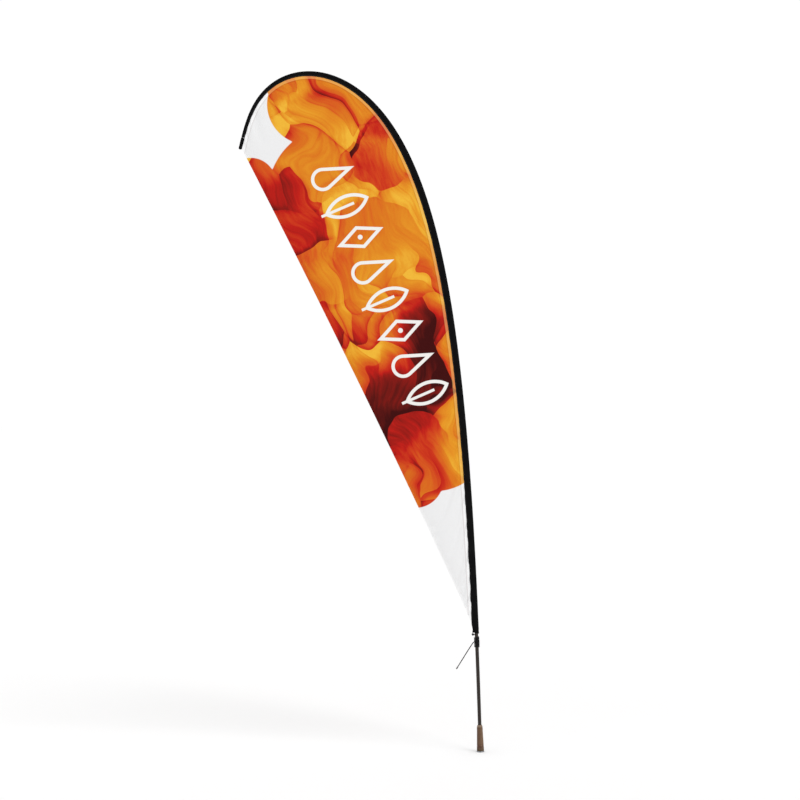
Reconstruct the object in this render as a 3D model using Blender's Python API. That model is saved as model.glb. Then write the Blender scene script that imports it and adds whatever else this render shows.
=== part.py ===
"""Teardrop flag on a turning ground spike.

The spike is driven into the ground, which is z = 0, and its axis is +Z through the origin. A socket turns
on two ball bearings at the top of the spike. The sectional pole stands in the socket, bends over towards -X,
and carries the flag in the XZ plane by a pocket sewn along the flag's curved edge. All sizes are in metres.
"""

import math

import bmesh
import bpy
import numpy as np
from mathutils import Matrix, Vector

# Gaps
FIT = 0.0003  # between pieces that are pressed, sewn or rest together
SLIP = 0.0005  # radial, between the pole and the socket that it lifts out of
RUN = 0.0015  # between turning and standing faces

# The pole's line: upright in the socket, and bent over by the flag's tension towards the tip
FREE_POLE = 4.125  # along the bend, from the socket's mouth to the tip
TIP_TURN = math.radians(164.4)  # how far the tip has turned over from upright
BEND_LENGTH = 0.602  # distance from the tip at which half of that turn is left
BEND_POWER = 2.346  # how sharply the bend fades below that

# Pole sections, from the base up
BASE_RADIUS = 0.009
TUBE_WALL = 0.0012
SECTION_REACH = 1.03  # how far each upper section stands out of the one below
PLUG_DEPTH = 0.09  # how far it goes into the one below
TIP_RADIUS = 0.0024
FERRULE_WALL = 0.0008
FERRULE_LENGTH = 0.028
STOP_RING_LENGTH = 0.007
TIP_CAP_WALL = 0.0011
TIP_CAP_LENGTH = 0.016
TIP_CAP_END = 0.002  # rubber beyond the end of the rod
FOOT_CAP = 0.004  # thickness of the pole's end plug under the tube
FOOT_STEM = 0.014  # length of that plug inside the tube

# Pole pocket and flag
POCKET_LOW = 0.515  # where the pocket starts, along the pole from the socket's mouth
POCKET_EASE = 0.0016  # slack between the pocket and the widest pole fitting
POCKET_WALL = 0.0012
POCKET_FULL = 0.0355  # flat width of the black band over the pole
POCKET_TIP = 0.017  # the same at the tip
POCKET_TAPER = 1.25  # length over which it narrows to that
POCKET_SEAM = 0.0026  # thickness where its two layers are sewn together
HOLE_BACK = 0.9  # back of the space for the pole, in radii of it
HOLE_BACK_HALF = 0.35  # half of the width there, the same way
TIP_POCKET = 0.055  # length of the reinforced pocket over the tip
TIP_POCKET_END = 0.0025
CUFF_LENGTH = 0.055  # drawn-in end of the pocket
CUFF_TAIL = 0.0035  # what is left of the seam at the cuff's lower end
PANEL_THICK = 0.0010
HEM_WIDTH = 0.014
HEM_THICK = 0.0022
HEM_HOLLOW = 0.0125  # how far the trailing edge curves in from a straight line

# Tie cord under the flag
CORD = 0.005
CORD_TURNS = 9
CORD_PITCH_GAP = 0.0005  # between two turns
CORD_BELOW_CUFF = 0.0212
TAB_WIDTH = 0.012
TAB_WEB = 0.0016
TAB_LOOP = 0.0042  # inner radius of the webbing loop that the cord passes through
TAB_NECK = 0.9  # half of its width at the top, in thicknesses of the webbing
TAB_DROP = 0.006  # from the cuff's lower end to the middle of the loop
KNOT_RADIUS = 0.0058
KNOT_SQUASH = 0.85  # its height over its width
LEAD_TURN = math.radians(150)  # how far round the pole the cord goes between the tab and its first turn
LEAD_STEPS = 6
TAB_PASS = 0.002  # cord straight past each side of the tab
CORD_TIP_LENGTH = 0.015
CORD_TIP_WALL = 0.0007
CORD_TIP_CHAMFER = 0.001

# Ground spike
SPIKE_RADIUS = 0.008
SPIKE_LENGTH = 0.50  # below the ground
SPIKE_POINT = 0.075
SPINDLE_RADIUS = 0.006
FLANGE_RADIUS = 0.019
FLANGE_THICK = 0.005
FIN_COUNT = 4
FIN_REACH = 0.030  # from the spike's axis
FIN_THICK = 0.003
FIN_TOP = 0.035  # below the ground
FIN_HEIGHT = 0.12
FIN_CORNER = 0.010  # cut off its upper outer corner
FIN_SLOPE = 0.6  # share of its height that the cut-away lower corner takes

# Bearings
BALL_RADIUS = 0.0022
BALL_COUNT = 7
BALL_PITCH_RADIUS = 0.0102
RACE_WIDTH = 0.0075
RACE_OUTER_RADIUS = 0.014
RACE_LAND = 0.0016  # from the pitch circle to the face of each race
GROOVE_GAP = 0.0003
CAGE_WALL = 0.0012
CAGE_HEIGHT = 0.0062
BEARING_SPACING = 0.0155  # between the two bearings
SPACER_WALL = 0.0020
SEAL_THICK = 0.003
SEAL_RADIUS = 0.0135
CLIP_THICK = 0.0012
CLIP_DEPTH = 0.0009  # how far a retaining ring sits in its groove
CLIP_RISE = 0.0022  # how far it stands out of the groove
WASHER_THICK = 0.001
WASHER_RADIUS = 0.0088
SPINDLE_END = 0.002  # spindle above its retaining ring
SPINDLE_CHAMFER = 0.0008

# Socket
SOCKET_LOW_RADIUS = 0.018
SOCKET_TOP_RADIUS = 0.014
SOCKET_WEB = 0.004
SOCKET_RELIEF = 0.0105  # radius of the space over the spindle's end
MOUTH = 0.135  # height of the socket's mouth over the ground
MOUTH_RIM_HEIGHT = 0.0105
MOUTH_RIM_TOP = 0.0016  # width of the rim's top face
BUSH_DEPTH = 0.010
BUSH_WALL = 0.0019
PAD_THICK = 0.003

# Facets
TURN_STEPS = 24
TUBE_SIDES = 16
MOST_TURN = math.radians(4.6)  # of the pole's line between two stations
MOST_STEP = 0.19
CORD_STEPS = 12  # stations in one turn of cord
CORD_STRIDE = 2.2  # between stations on its free tail, in diameters
CURVE_STEPS = 20  # steps of a smooth curve between two points of its route
CLOSEST = 0.004  # between two stations of one piece
GROOVE_STEPS = 4  # facets in the section of a ball groove
FINE = 0.001  # step of the table that the pole's line is read from

Y_AXIS, Z_AXIS = Vector((0, 1, 0)), Vector((0, 0, 1))

# Heights on the spike's axis, each one resting on the one below
FLANGE_TOP = FLANGE_THICK
SEAL_TOP = FLANGE_TOP + FIT + SEAL_THICK
HOUSING_LOW = FLANGE_TOP + RUN
HOUSING_CLIP_LOW = SEAL_TOP + FIT
LOWER_BEARING = HOUSING_CLIP_LOW + CLIP_THICK + FIT
SPACER_LOW = LOWER_BEARING + RACE_WIDTH + FIT
UPPER_BEARING = LOWER_BEARING + RACE_WIDTH + BEARING_SPACING
WASHER_LOW = UPPER_BEARING + RACE_WIDTH + FIT
SPINDLE_CLIP_LOW = WASHER_LOW + WASHER_THICK + FIT
SPINDLE_TOP = SPINDLE_CLIP_LOW + CLIP_THICK + FIT + SPINDLE_END
WEB_LOW = SPINDLE_TOP + 2 * RUN
WEB_TOP = WEB_LOW + SOCKET_WEB
PAD_LOW = WEB_TOP + FIT
FOOT_LOW = PAD_LOW + PAD_THICK + FIT
TUBE_LOW = FOOT_LOW + FOOT_CAP + FIT

# Radii that follow from the ones above
MIDDLE_RADIUS = BASE_RADIUS - TUBE_WALL - FIT
UPPER_RADIUS = MIDDLE_RADIUS - TUBE_WALL - FIT
ROD_RADIUS = UPPER_RADIUS - TUBE_WALL - FIT
POLE_BORE = BASE_RADIUS + SLIP
RACE_BORE = SPINDLE_RADIUS + FIT
INNER_LAND = BALL_PITCH_RADIUS - RACE_LAND
OUTER_LAND = BALL_PITCH_RADIUS + RACE_LAND
GROOVE_RADIUS = BALL_RADIUS + GROOVE_GAP
HOUSING_BORE = RACE_OUTER_RADIUS + FIT
BUSH_RADIUS = POLE_BORE + BUSH_WALL

# Places along the pole, from the socket's mouth
BASE_TOP = FREE_POLE - 3 * SECTION_REACH
MIDDLE_TOP = BASE_TOP + SECTION_REACH
UPPER_TOP = MIDDLE_TOP + SECTION_REACH
CUFF_LOW = POCKET_LOW - FIT - CUFF_LENGTH
TIP_POCKET_LOW = FREE_POLE - TIP_POCKET
TIP_POCKET_FLOOR = FREE_POLE + TIP_CAP_END + FIT
TIP_POCKET_TOP = TIP_POCKET_FLOOR + TIP_POCKET_END

MATERIALS = {
    "galvanised_steel": ((0.42, 0.42, 0.42), 0.45, 1.0),
    "bearing_steel": ((0.60, 0.60, 0.62), 0.20, 1.0),
    "brass": ((0.55, 0.40, 0.16), 0.35, 1.0),
    "brown_socket": ((0.17, 0.095, 0.045), 0.55, 0.6),
    "brown_nylon": ((0.22, 0.125, 0.065), 0.50, 0.0),
    "black_rubber": ((0.012, 0.012, 0.012), 0.80, 0.0),
    "dark_pole": ((0.055, 0.045, 0.038), 0.32, 0.4),
    "pole_ferrule": ((0.30, 0.30, 0.31), 0.35, 1.0),
    "pocket_fabric": ((0.010, 0.010, 0.011), 0.90, 0.0),
    "printed_fabric": ((0.80, 0.28, 0.04), 0.80, 0.0),
    "black_cord": ((0.015, 0.015, 0.015), 0.85, 0.0),
    "black_plastic": ((0.015, 0.015, 0.015), 0.40, 0.0),
}


# ---------------------------------------------------------------- the pole's line
def turn_left(from_tip):
    """Share of the tip's turn that the line still has at this distance from the tip."""
    return 1 / (1 + (from_tip / BEND_LENGTH) ** BEND_POWER)


def lean_table():
    """Places along the free pole, and the lean from upright at each, which is nothing at the socket."""
    places = np.linspace(0, FREE_POLE, round(FREE_POLE / FINE) + 1)
    share, low_share = turn_left(FREE_POLE - places), turn_left(FREE_POLE)
    return places, TIP_TURN * (share - low_share) / (1 - low_share)


def running_sum(values, step):
    """Integral of evenly spaced values, from nothing at the first."""
    return np.concatenate([[0], np.cumsum((values[1:] + values[:-1]) / 2) * step])


PLACES, LEANS = lean_table()
LINE_X = -running_sum(np.sin(LEANS), PLACES[1])
LINE_Z = MOUTH + running_sum(np.cos(LEANS), PLACES[1])


def lean_at(place):
    return float(np.interp(place, PLACES, LEANS))


def along(place):
    """Unit vector up the pole."""
    lean = lean_at(place)
    return Vector((-math.sin(lean), 0, math.cos(lean)))


def outward(place):
    """Unit vector across the pole, to the outside of its bend."""
    lean = lean_at(place)
    return Vector((math.cos(lean), 0, math.sin(lean)))


def line_point(place):
    """Point on the pole's axis, carried on straight beyond either end."""
    held = min(max(place, 0), FREE_POLE)
    on_line = Vector((float(np.interp(held, PLACES, LINE_X)), 0, float(np.interp(held, PLACES, LINE_Z))))
    return on_line + (place - held) * along(held)


def offset_point(place, out, side=0.0):
    """Point beside the pole's axis: out towards the outside of the bend, and side along +Y."""
    return line_point(place) + out * outward(place) + side * Y_AXIS


def make_grid():
    """Stations along the free pole, as far apart as the bend allows, and one at each end of a pole fitting."""
    depths = (PLUG_DEPTH, FERRULE_LENGTH, 0)
    ends = [top - depth for top in (BASE_TOP, MIDDLE_TOP, UPPER_TOP) for depth in depths]
    grid = [0.0]
    for end in [*ends, POCKET_LOW, TIP_POCKET_LOW, FREE_POLE]:
        while grid[-1] < end:
            reach = float(np.interp(lean_at(grid[-1]) + MOST_TURN, LEANS, PLACES))
            grid.append(min(reach, grid[-1] + MOST_STEP, end))
    return grid


GRID = make_grid()


def stations(low, high):
    """Both ends and the shared stations between them, so that pieces inside one another bend alike."""
    return [low] + [g for g in GRID if low + CLOSEST < g < high - CLOSEST] + [high]


# ---------------------------------------------------------------- modelling
def material(name):
    found = bpy.data.materials.get(name)
    if found:
        return found
    colour, roughness, metallic = MATERIALS[name]
    made = bpy.data.materials.new(name)
    made.use_nodes = True
    shader = made.node_tree.nodes["Principled BSDF"]
    shader.inputs["Base Color"].default_value = (*colour, 1)
    shader.inputs["Roughness"].default_value = roughness
    shader.inputs["Metallic"].default_value = metallic
    return made


def add_object(name, data, finish, parent):
    made = bpy.data.objects.new(name, data)
    bpy.context.scene.collection.objects.link(made)
    made.parent = parent
    data.materials.append(material(finish))
    return made


def finish_mesh(name, bm, finish, parent):
    """Closes the work on a bmesh: faces outwards, smooth with sharp corners, and into the scene."""
    bmesh.ops.recalc_face_normals(bm, faces=bm.faces)
    mesh = bpy.data.meshes.new(name)
    bm.to_mesh(mesh)
    bm.free()
    mesh.shade_smooth()
    mesh.set_sharp_from_angle(angle=math.radians(35))
    return add_object(name, mesh, finish, parent)


def loft(name, rings, finish, parent, endless=False):
    """Skin over rings of points. An endless one joins its last ring to its first, and any other is capped."""
    bm = bmesh.new()
    rows = [[bm.verts.new(point) for point in ring] for ring in rings]
    pairs = list(zip(rows, rows[1:]))
    if endless:
        pairs.append((rows[-1], rows[0]))
    else:
        bm.faces.new(rows[0])
        bm.faces.new(rows[-1])
    for low, high in pairs:
        for i in range(len(low)):
            j = (i + 1) % len(low)
            bm.faces.new((low[i], low[j], high[j], high[i]))
    return finish_mesh(name, bm, finish, parent)


def turned(name, profile, finish, parent, steps=TURN_STEPS):
    """Body turned about +Z from (radius, height) points: a loop, or open with both ends on the axis."""
    bm = bmesh.new()
    points = [bm.verts.new((radius, 0, height)) for radius, height in profile]
    on_axis = profile[0][0] == 0 and profile[-1][0] == 0
    ends = points[1:] if on_axis else points[1:] + points[:1]
    edges = [bm.edges.new(pair) for pair in zip(points, ends)]
    bmesh.ops.spin(
        bm, geom=points + edges, cent=(0, 0, 0), axis=Z_AXIS, angle=2 * math.pi, steps=steps, use_merge=True
    )
    bmesh.ops.remove_doubles(bm, verts=bm.verts, dist=1e-6)
    return finish_mesh(name, bm, finish, parent)


def ring_piece(name, inner, outer, low, high, finish, parent):
    """Plain ring about +Z."""
    return turned(name, [(inner, low), (outer, low), (outer, high), (inner, high)], finish, parent)


def plate(name, outline, thickness, finish, parent):
    """Flat sheet in the XZ plane, from its outline of (x, z) points."""
    bm = bmesh.new()
    face = bm.faces.new([bm.verts.new((x, -thickness / 2, z)) for x, z in outline])
    grown = bmesh.ops.extrude_face_region(bm, geom=[face])["geom"]
    moved = [item for item in grown if isinstance(item, bmesh.types.BMVert)]
    bmesh.ops.translate(bm, verts=moved, vec=thickness * Y_AXIS)
    return finish_mesh(name, bm, finish, parent)


def round_ring(place, radius, sides=TUBE_SIDES):
    """Circle of points round the pole's line."""
    angles = [2 * math.pi * i / sides for i in range(sides)]
    return [offset_point(place, radius * math.cos(a), radius * math.sin(a)) for a in angles]


def pole_tube(name, low, high, outer, inner, finish, parent):
    """Tube that follows the pole's line."""
    places = stations(low, high)
    rings = [round_ring(p, outer) for p in places] + [round_ring(p, inner) for p in reversed(places)]
    return loft(name, rings, finish, parent, endless=True)


def cord_tube(name, points, radius, finish, parent):
    """Cord along a run of points, with closed ends."""
    curve = bpy.data.curves.new(name, "CURVE")
    curve.dimensions = "3D"
    curve.bevel_depth = radius
    curve.bevel_resolution = 2
    curve.use_fill_caps = True
    spline = curve.splines.new("POLY")
    spline.points.add(len(points) - 1)
    for held, point in zip(spline.points, points):
        held.co = (*point, 1)
    return add_object(name, curve, finish, parent)


def smooth_route(points, step):
    """Evenly stepped points on a Catmull-Rom curve through the given ones."""
    ends = [2 * points[0] - points[1], *points, 2 * points[-1] - points[-2]]
    fine = []
    for a, b, c, d in zip(ends, ends[1:], ends[2:], ends[3:]):
        for i in range(CURVE_STEPS):
            t = i / CURVE_STEPS
            fine.append(
                (2 * b + (c - a) * t + (2 * a - 5 * b + 4 * c - d) * t**2 + (3 * b - a - 3 * c + d) * t**3) / 2
            )
    fine.append(points[-1])
    reach = np.concatenate([[0], np.cumsum([(q - p).length for p, q in zip(fine, fine[1:])])])
    wanted = np.linspace(0, reach[-1], round(reach[-1] / step) + 1)
    columns = [np.interp(wanted, reach, [p[k] for p in fine]) for k in range(3)]
    return [Vector(point) for point in zip(*columns)]


# ---------------------------------------------------------------- ground spike
def make_spike(parent):
    shoulder = LOWER_BEARING - FIT
    groove = SPINDLE_RADIUS - CLIP_DEPTH
    groove_low, groove_high = SPINDLE_CLIP_LOW - FIT, SPINDLE_CLIP_LOW + CLIP_THICK + FIT
    turned(
        "spike_shaft",
        [
            (0, -SPIKE_LENGTH),
            (SPIKE_RADIUS, SPIKE_POINT - SPIKE_LENGTH),
            (SPIKE_RADIUS, shoulder),
            (SPINDLE_RADIUS, shoulder),
            (SPINDLE_RADIUS, groove_low),
            (groove, groove_low),
            (groove, groove_high),
            (SPINDLE_RADIUS, groove_high),
            (SPINDLE_RADIUS, SPINDLE_TOP - SPINDLE_CHAMFER),
            (SPINDLE_RADIUS - SPINDLE_CHAMFER, SPINDLE_TOP),
            (0, SPINDLE_TOP),
        ],
        "galvanised_steel",
        parent,
    )
    ring_piece("drive_flange", SPIKE_RADIUS + FIT, FLANGE_RADIUS, 0, FLANGE_THICK, "galvanised_steel", parent)
    for number in range(FIN_COUNT):
        make_fin(number, parent)
    ring_piece(
        "dust_seal", SPIKE_RADIUS + FIT, SEAL_RADIUS, FLANGE_TOP + FIT, SEAL_TOP, "black_rubber", parent
    )
    ring_piece(
        "inner_spacer",
        RACE_BORE,
        RACE_BORE + SPACER_WALL,
        SPACER_LOW,
        UPPER_BEARING - FIT,
        "galvanised_steel",
        parent,
    )
    ring_piece(
        "spindle_washer",
        RACE_BORE,
        WASHER_RADIUS,
        WASHER_LOW,
        WASHER_LOW + WASHER_THICK,
        "galvanised_steel",
        parent,
    )
    ring_piece(
        "spindle_circlip",
        groove + FIT,
        groove + FIT + CLIP_DEPTH + CLIP_RISE,
        SPINDLE_CLIP_LOW,
        SPINDLE_CLIP_LOW + CLIP_THICK,
        "bearing_steel",
        parent,
    )


def make_fin(number, parent):
    """Plate on the spike that keeps it from turning in the ground, with its lower outer corner cut away."""
    inner, top, low = SPIKE_RADIUS + FIT, -FIN_TOP, -FIN_TOP - FIN_HEIGHT
    outline = [
        (inner, low),
        (FIN_REACH, low + FIN_HEIGHT * FIN_SLOPE),
        (FIN_REACH, top - FIN_CORNER),
        (FIN_REACH - FIN_CORNER, top),
        (inner, top),
    ]
    fin = plate(f"spike_fin_{number + 1}", outline, FIN_THICK, "galvanised_steel", parent)
    fin.rotation_euler.z = math.radians(45) + 2 * math.pi * number / FIN_COUNT


# ---------------------------------------------------------------- bearings
def groove_arc(centre_radius, middle, facing):
    """Section of a race's ball groove, from low to high. It bulges away from the axis where facing is 1."""
    half = math.acos(RACE_LAND / GROOVE_RADIUS)
    angles = [half * (2 * i / GROOVE_STEPS - 1) for i in range(GROOVE_STEPS + 1)]
    return [
        (centre_radius + facing * GROOVE_RADIUS * math.cos(a), middle + GROOVE_RADIUS * math.sin(a))
        for a in angles
    ]


def make_bearing(where, low, fixed, turning, rolling):
    """One ball bearing: inner race on the spike, outer race in the socket, balls in a cage between them."""
    high, middle = low + RACE_WIDTH, low + RACE_WIDTH / 2
    inner_groove = groove_arc(BALL_PITCH_RADIUS, middle, -1)
    turned(
        f"{where}_inner_race",
        [(RACE_BORE, low), (INNER_LAND, low), *inner_groove, (INNER_LAND, high), (RACE_BORE, high)],
        "bearing_steel",
        fixed,
    )
    outer_groove = groove_arc(BALL_PITCH_RADIUS, middle, 1)
    turned(
        f"{where}_outer_race",
        [
            (RACE_OUTER_RADIUS, high),
            (OUTER_LAND, high),
            *outer_groove[::-1],
            (OUTER_LAND, low),
            (RACE_OUTER_RADIUS, low),
        ],
        "bearing_steel",
        turning,
    )
    ball = ball_mesh(f"{where}_ball")
    on_pitch_circle = Matrix.Translation((BALL_PITCH_RADIUS, 0, middle))
    turns = [2 * math.pi * i / BALL_COUNT for i in range(BALL_COUNT)]
    spots = [Matrix.Rotation(turn, 4, "Z") @ on_pitch_circle for turn in turns]
    for number, spot in enumerate(spots):
        piece = bpy.data.objects.new(f"{where}_ball_{number + 1}", ball)
        bpy.context.scene.collection.objects.link(piece)
        piece.matrix_world = spot
        piece.parent = rolling
    cage = ring_piece(
        f"{where}_ball_cage",
        BALL_PITCH_RADIUS - CAGE_WALL / 2,
        BALL_PITCH_RADIUS + CAGE_WALL / 2,
        middle - CAGE_HEIGHT / 2,
        middle + CAGE_HEIGHT / 2,
        "brass",
        rolling,
    )
    cut_pockets(cage, spots, rolling)


def ball_mesh(name):
    bm = bmesh.new()
    bmesh.ops.create_icosphere(bm, subdivisions=2, radius=BALL_RADIUS)
    mesh = bpy.data.meshes.new(name)
    bm.to_mesh(mesh)
    bm.free()
    mesh.shade_smooth()
    mesh.materials.append(material("bearing_steel"))
    return mesh


def cut_pockets(cage, spots, parent):
    """Cuts a round window in the cage for each ball, with one cutter made of all of them."""
    bm = bmesh.new()
    across = Matrix.Rotation(math.radians(90), 4, "Y")
    for spot in spots:
        bmesh.ops.create_cone(
            bm,
            cap_ends=True,
            segments=12,
            radius1=BALL_RADIUS + GROOVE_GAP,
            radius2=BALL_RADIUS + GROOVE_GAP,
            depth=3 * CAGE_WALL,
            matrix=spot @ across,
        )
    cutter = finish_mesh(f"{cage.name}_cutter", bm, "brass", parent)
    cutter.hide_render = True
    cutter.display_type = "WIRE"
    cut = cage.modifiers.new("pockets", "BOOLEAN")
    cut.operation = "DIFFERENCE"
    cut.object = cutter


# ---------------------------------------------------------------- socket
def make_socket(parent):
    housing_top = MOUTH - MOUTH_RIM_HEIGHT
    bush_low = housing_top - BUSH_DEPTH
    shoulder = UPPER_BEARING + RACE_WIDTH + FIT
    clip_groove = HOUSING_BORE + CLIP_DEPTH
    clip_low, clip_high = HOUSING_CLIP_LOW - FIT, HOUSING_CLIP_LOW + CLIP_THICK + FIT
    turned(
        "socket_housing",
        [
            (HOUSING_BORE, HOUSING_LOW),
            (SOCKET_LOW_RADIUS, HOUSING_LOW),
            (SOCKET_TOP_RADIUS, housing_top),
            (BUSH_RADIUS + FIT, housing_top),
            (BUSH_RADIUS + FIT, bush_low - FIT),
            (POLE_BORE, bush_low - FIT),
            (POLE_BORE, WEB_TOP),
            (0, WEB_TOP),
            (0, WEB_LOW),
            (SOCKET_RELIEF, WEB_LOW),
            (SOCKET_RELIEF, shoulder),
            (HOUSING_BORE, shoulder),
            (HOUSING_BORE, clip_high),
            (clip_groove, clip_high),
            (clip_groove, clip_low),
            (HOUSING_BORE, clip_low),
        ],
        "brown_socket",
        parent,
    )
    turned(
        "mouth_bush",
        [
            (POLE_BORE, bush_low),
            (BUSH_RADIUS, bush_low),
            (BUSH_RADIUS, housing_top + FIT),
            (SOCKET_TOP_RADIUS, housing_top + FIT),
            (POLE_BORE + MOUTH_RIM_TOP, MOUTH),
            (POLE_BORE, MOUTH),
        ],
        "brown_nylon",
        parent,
    )
    ring_piece(
        "outer_spacer",
        RACE_OUTER_RADIUS - SPACER_WALL,
        RACE_OUTER_RADIUS,
        SPACER_LOW,
        UPPER_BEARING - FIT,
        "galvanised_steel",
        parent,
    )
    ring_piece(
        "housing_circlip",
        clip_groove - FIT - CLIP_DEPTH - CLIP_RISE / 2,
        clip_groove - FIT,
        HOUSING_CLIP_LOW,
        HOUSING_CLIP_LOW + CLIP_THICK,
        "bearing_steel",
        parent,
    )
    turned(
        "buffer_pad",
        [(0, PAD_LOW), (BASE_RADIUS, PAD_LOW), (BASE_RADIUS, PAD_LOW + PAD_THICK), (0, PAD_LOW + PAD_THICK)],
        "black_rubber",
        parent,
    )


# ---------------------------------------------------------------- pole
def make_pole(parent):
    pole_tube(
        "base_pole_tube", TUBE_LOW - MOUTH, BASE_TOP, BASE_RADIUS, BASE_RADIUS - TUBE_WALL, "dark_pole", parent
    )
    make_foot_plug(parent)
    uppers = (
        ("middle", BASE_TOP, MIDDLE_TOP, MIDDLE_RADIUS, BASE_RADIUS),
        ("upper", MIDDLE_TOP, UPPER_TOP, UPPER_RADIUS, MIDDLE_RADIUS),
    )
    for name, low, high, radius, below in uppers:
        pole_tube(
            f"{name}_pole_tube", low - PLUG_DEPTH, high, radius, radius - TUBE_WALL, "dark_pole", parent
        )
        make_joint_rings(name, low, radius, below, parent)
    places = stations(UPPER_TOP - PLUG_DEPTH, FREE_POLE)
    taper = [TIP_RADIUS + (ROD_RADIUS - TIP_RADIUS) * min(1, (FREE_POLE - p) / SECTION_REACH) for p in places]
    rings = [round_ring(p, radius) for p, radius in zip(places, taper)]
    loft("tip_rod", rings, "dark_pole", parent)
    make_joint_rings("tip", UPPER_TOP, ROD_RADIUS, UPPER_RADIUS, parent)
    make_tip_cap(parent)


def make_joint_rings(name, place, radius, below, parent):
    """Rings of one pole joint: the ferrule round the lower tube's mouth, and the upper section's stop ring."""
    lower_name = {"middle": "base", "upper": "middle", "tip": "upper"}[name]
    pole_tube(
        f"{lower_name}_pole_ferrule",
        place - FERRULE_LENGTH,
        place,
        below + FIT + FERRULE_WALL,
        below + FIT,
        "pole_ferrule",
        parent,
    )
    low = place + FIT
    pole_tube(f"{name}_stop_ring", low, low + STOP_RING_LENGTH, below, radius + FIT, "black_plastic", parent)


def make_foot_plug(parent):
    stem = BASE_RADIUS - TUBE_WALL - FIT
    turned(
        "base_pole_plug",
        [
            (0, FOOT_LOW),
            (BASE_RADIUS, FOOT_LOW),
            (BASE_RADIUS, FOOT_LOW + FOOT_CAP),
            (stem, FOOT_LOW + FOOT_CAP),
            (stem, FOOT_LOW + FOOT_CAP + FOOT_STEM),
            (0, FOOT_LOW + FOOT_CAP + FOOT_STEM),
        ],
        "black_plastic",
        parent,
        steps=TUBE_SIDES,
    )


def make_tip_cap(parent):
    """Rubber cap on the end of the rod, with a rounded nose."""
    bore, outer = TIP_RADIUS + 2 * FIT, TIP_RADIUS + 2 * FIT + TIP_CAP_WALL
    low = FREE_POLE - TIP_CAP_LENGTH + TIP_CAP_END
    nose = outer - TIP_CAP_END / 2
    rings = [round_ring(place, bore) for place in (FREE_POLE + FIT, low)]
    rings += [round_ring(place, outer) for place in (low, FREE_POLE + TIP_CAP_END / 2)]
    rings.append(round_ring(FREE_POLE + TIP_CAP_END, nose))
    loft("tip_cap", rings, "black_rubber", parent)


# ---------------------------------------------------------------- pocket and flag
def cavity(place):
    """Radius of the space for the pole in the pocket, which clears the fitting at each pole joint."""
    clear = FIT + FERRULE_WALL + POCKET_EASE
    at_joints = [BASE_RADIUS + clear, BASE_RADIUS + clear, MIDDLE_RADIUS + clear, UPPER_RADIUS + clear]
    tip = TIP_RADIUS + 2 * FIT + TIP_CAP_WALL + POCKET_EASE / 2
    return float(np.interp(place, [0, BASE_TOP, MIDDLE_TOP, UPPER_TOP, FREE_POLE], [*at_joints, tip]))


def band_width(place):
    """Flat width of the pocket, which narrows towards the tip."""
    share = min(1, (FREE_POLE - min(place, FREE_POLE)) / POCKET_TAPER)
    return POCKET_TIP + (POCKET_FULL - POCKET_TIP) * share


def band_inner(place):
    """How far the pocket's seam edge lies from the pole's axis, towards the flag."""
    return band_width(place) - cavity(place) - POCKET_WALL


def pocket_ring(place, tail, wall=POCKET_WALL, inside=False):
    """Section of the pocket: round the pole on its outer side, drawn together to the seam behind it."""
    hole = cavity(place)
    radius = hole if inside else hole + wall
    arc = [math.radians(a) for a in (-115, -90, -60, -30, 0, 30, 60, 90, 115)]
    points = [offset_point(place, radius * math.cos(a), radius * math.sin(a)) for a in arc]
    half = hole * HOLE_BACK_HALF if inside else POCKET_SEAM / 2
    back = -hole * HOLE_BACK if inside else -tail
    return [*points, offset_point(place, back, half), offset_point(place, back, -half)]


def pocket_piece(name, low, high, low_tail, high_tail, finish, parent):
    """Stretch of the pocket, open at both ends, whose seam tail changes evenly from one end to the other."""
    places = stations(low, high)

    def tail(place):
        share = (place - low) / (high - low)
        return low_tail(place) + (high_tail(place) - low_tail(place)) * share

    rings = [pocket_ring(p, tail(p)) for p in places]
    rings += [pocket_ring(p, tail(p), inside=True) for p in reversed(places)]
    return loft(name, rings, finish, parent, endless=True)


def make_pocket(parent):
    pocket_piece(
        "pole_pocket", POCKET_LOW, TIP_POCKET_LOW - FIT, band_inner, band_inner, "pocket_fabric", parent
    )
    pocket_piece(
        "pocket_cuff", CUFF_LOW, POCKET_LOW - FIT, cuff_tail, band_inner, "pocket_fabric", parent
    )
    hole, skin = stations(TIP_POCKET_LOW, TIP_POCKET_FLOOR), stations(TIP_POCKET_LOW, TIP_POCKET_TOP)
    rings = [pocket_ring(p, band_inner(p), inside=True) for p in reversed(hole)]
    rings += [pocket_ring(p, band_inner(p)) for p in skin]
    loft("tip_pocket", rings, "pocket_fabric", parent)


def cuff_tail(place):
    return cavity(place) + POCKET_WALL + CUFF_TAIL


def seam_table():
    """Places of the pocket's stations, and the (x, z) points beside its seam there."""
    places = [*stations(POCKET_LOW, TIP_POCKET_LOW), *stations(TIP_POCKET_LOW, TIP_POCKET_TOP)[1:]]
    points = [offset_point(place, -band_inner(place) - FIT) for place in places]
    return places, [(point.x, point.z) for point in points]


SEAM_PLACES, SEAM_POINTS = seam_table()


def seam_point(place):
    """Point beside the pocket's seam, as (x, z). Between stations the seam is straight."""
    return np.array([np.interp(place, SEAM_PLACES, column) for column in zip(*SEAM_POINTS)])


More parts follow.
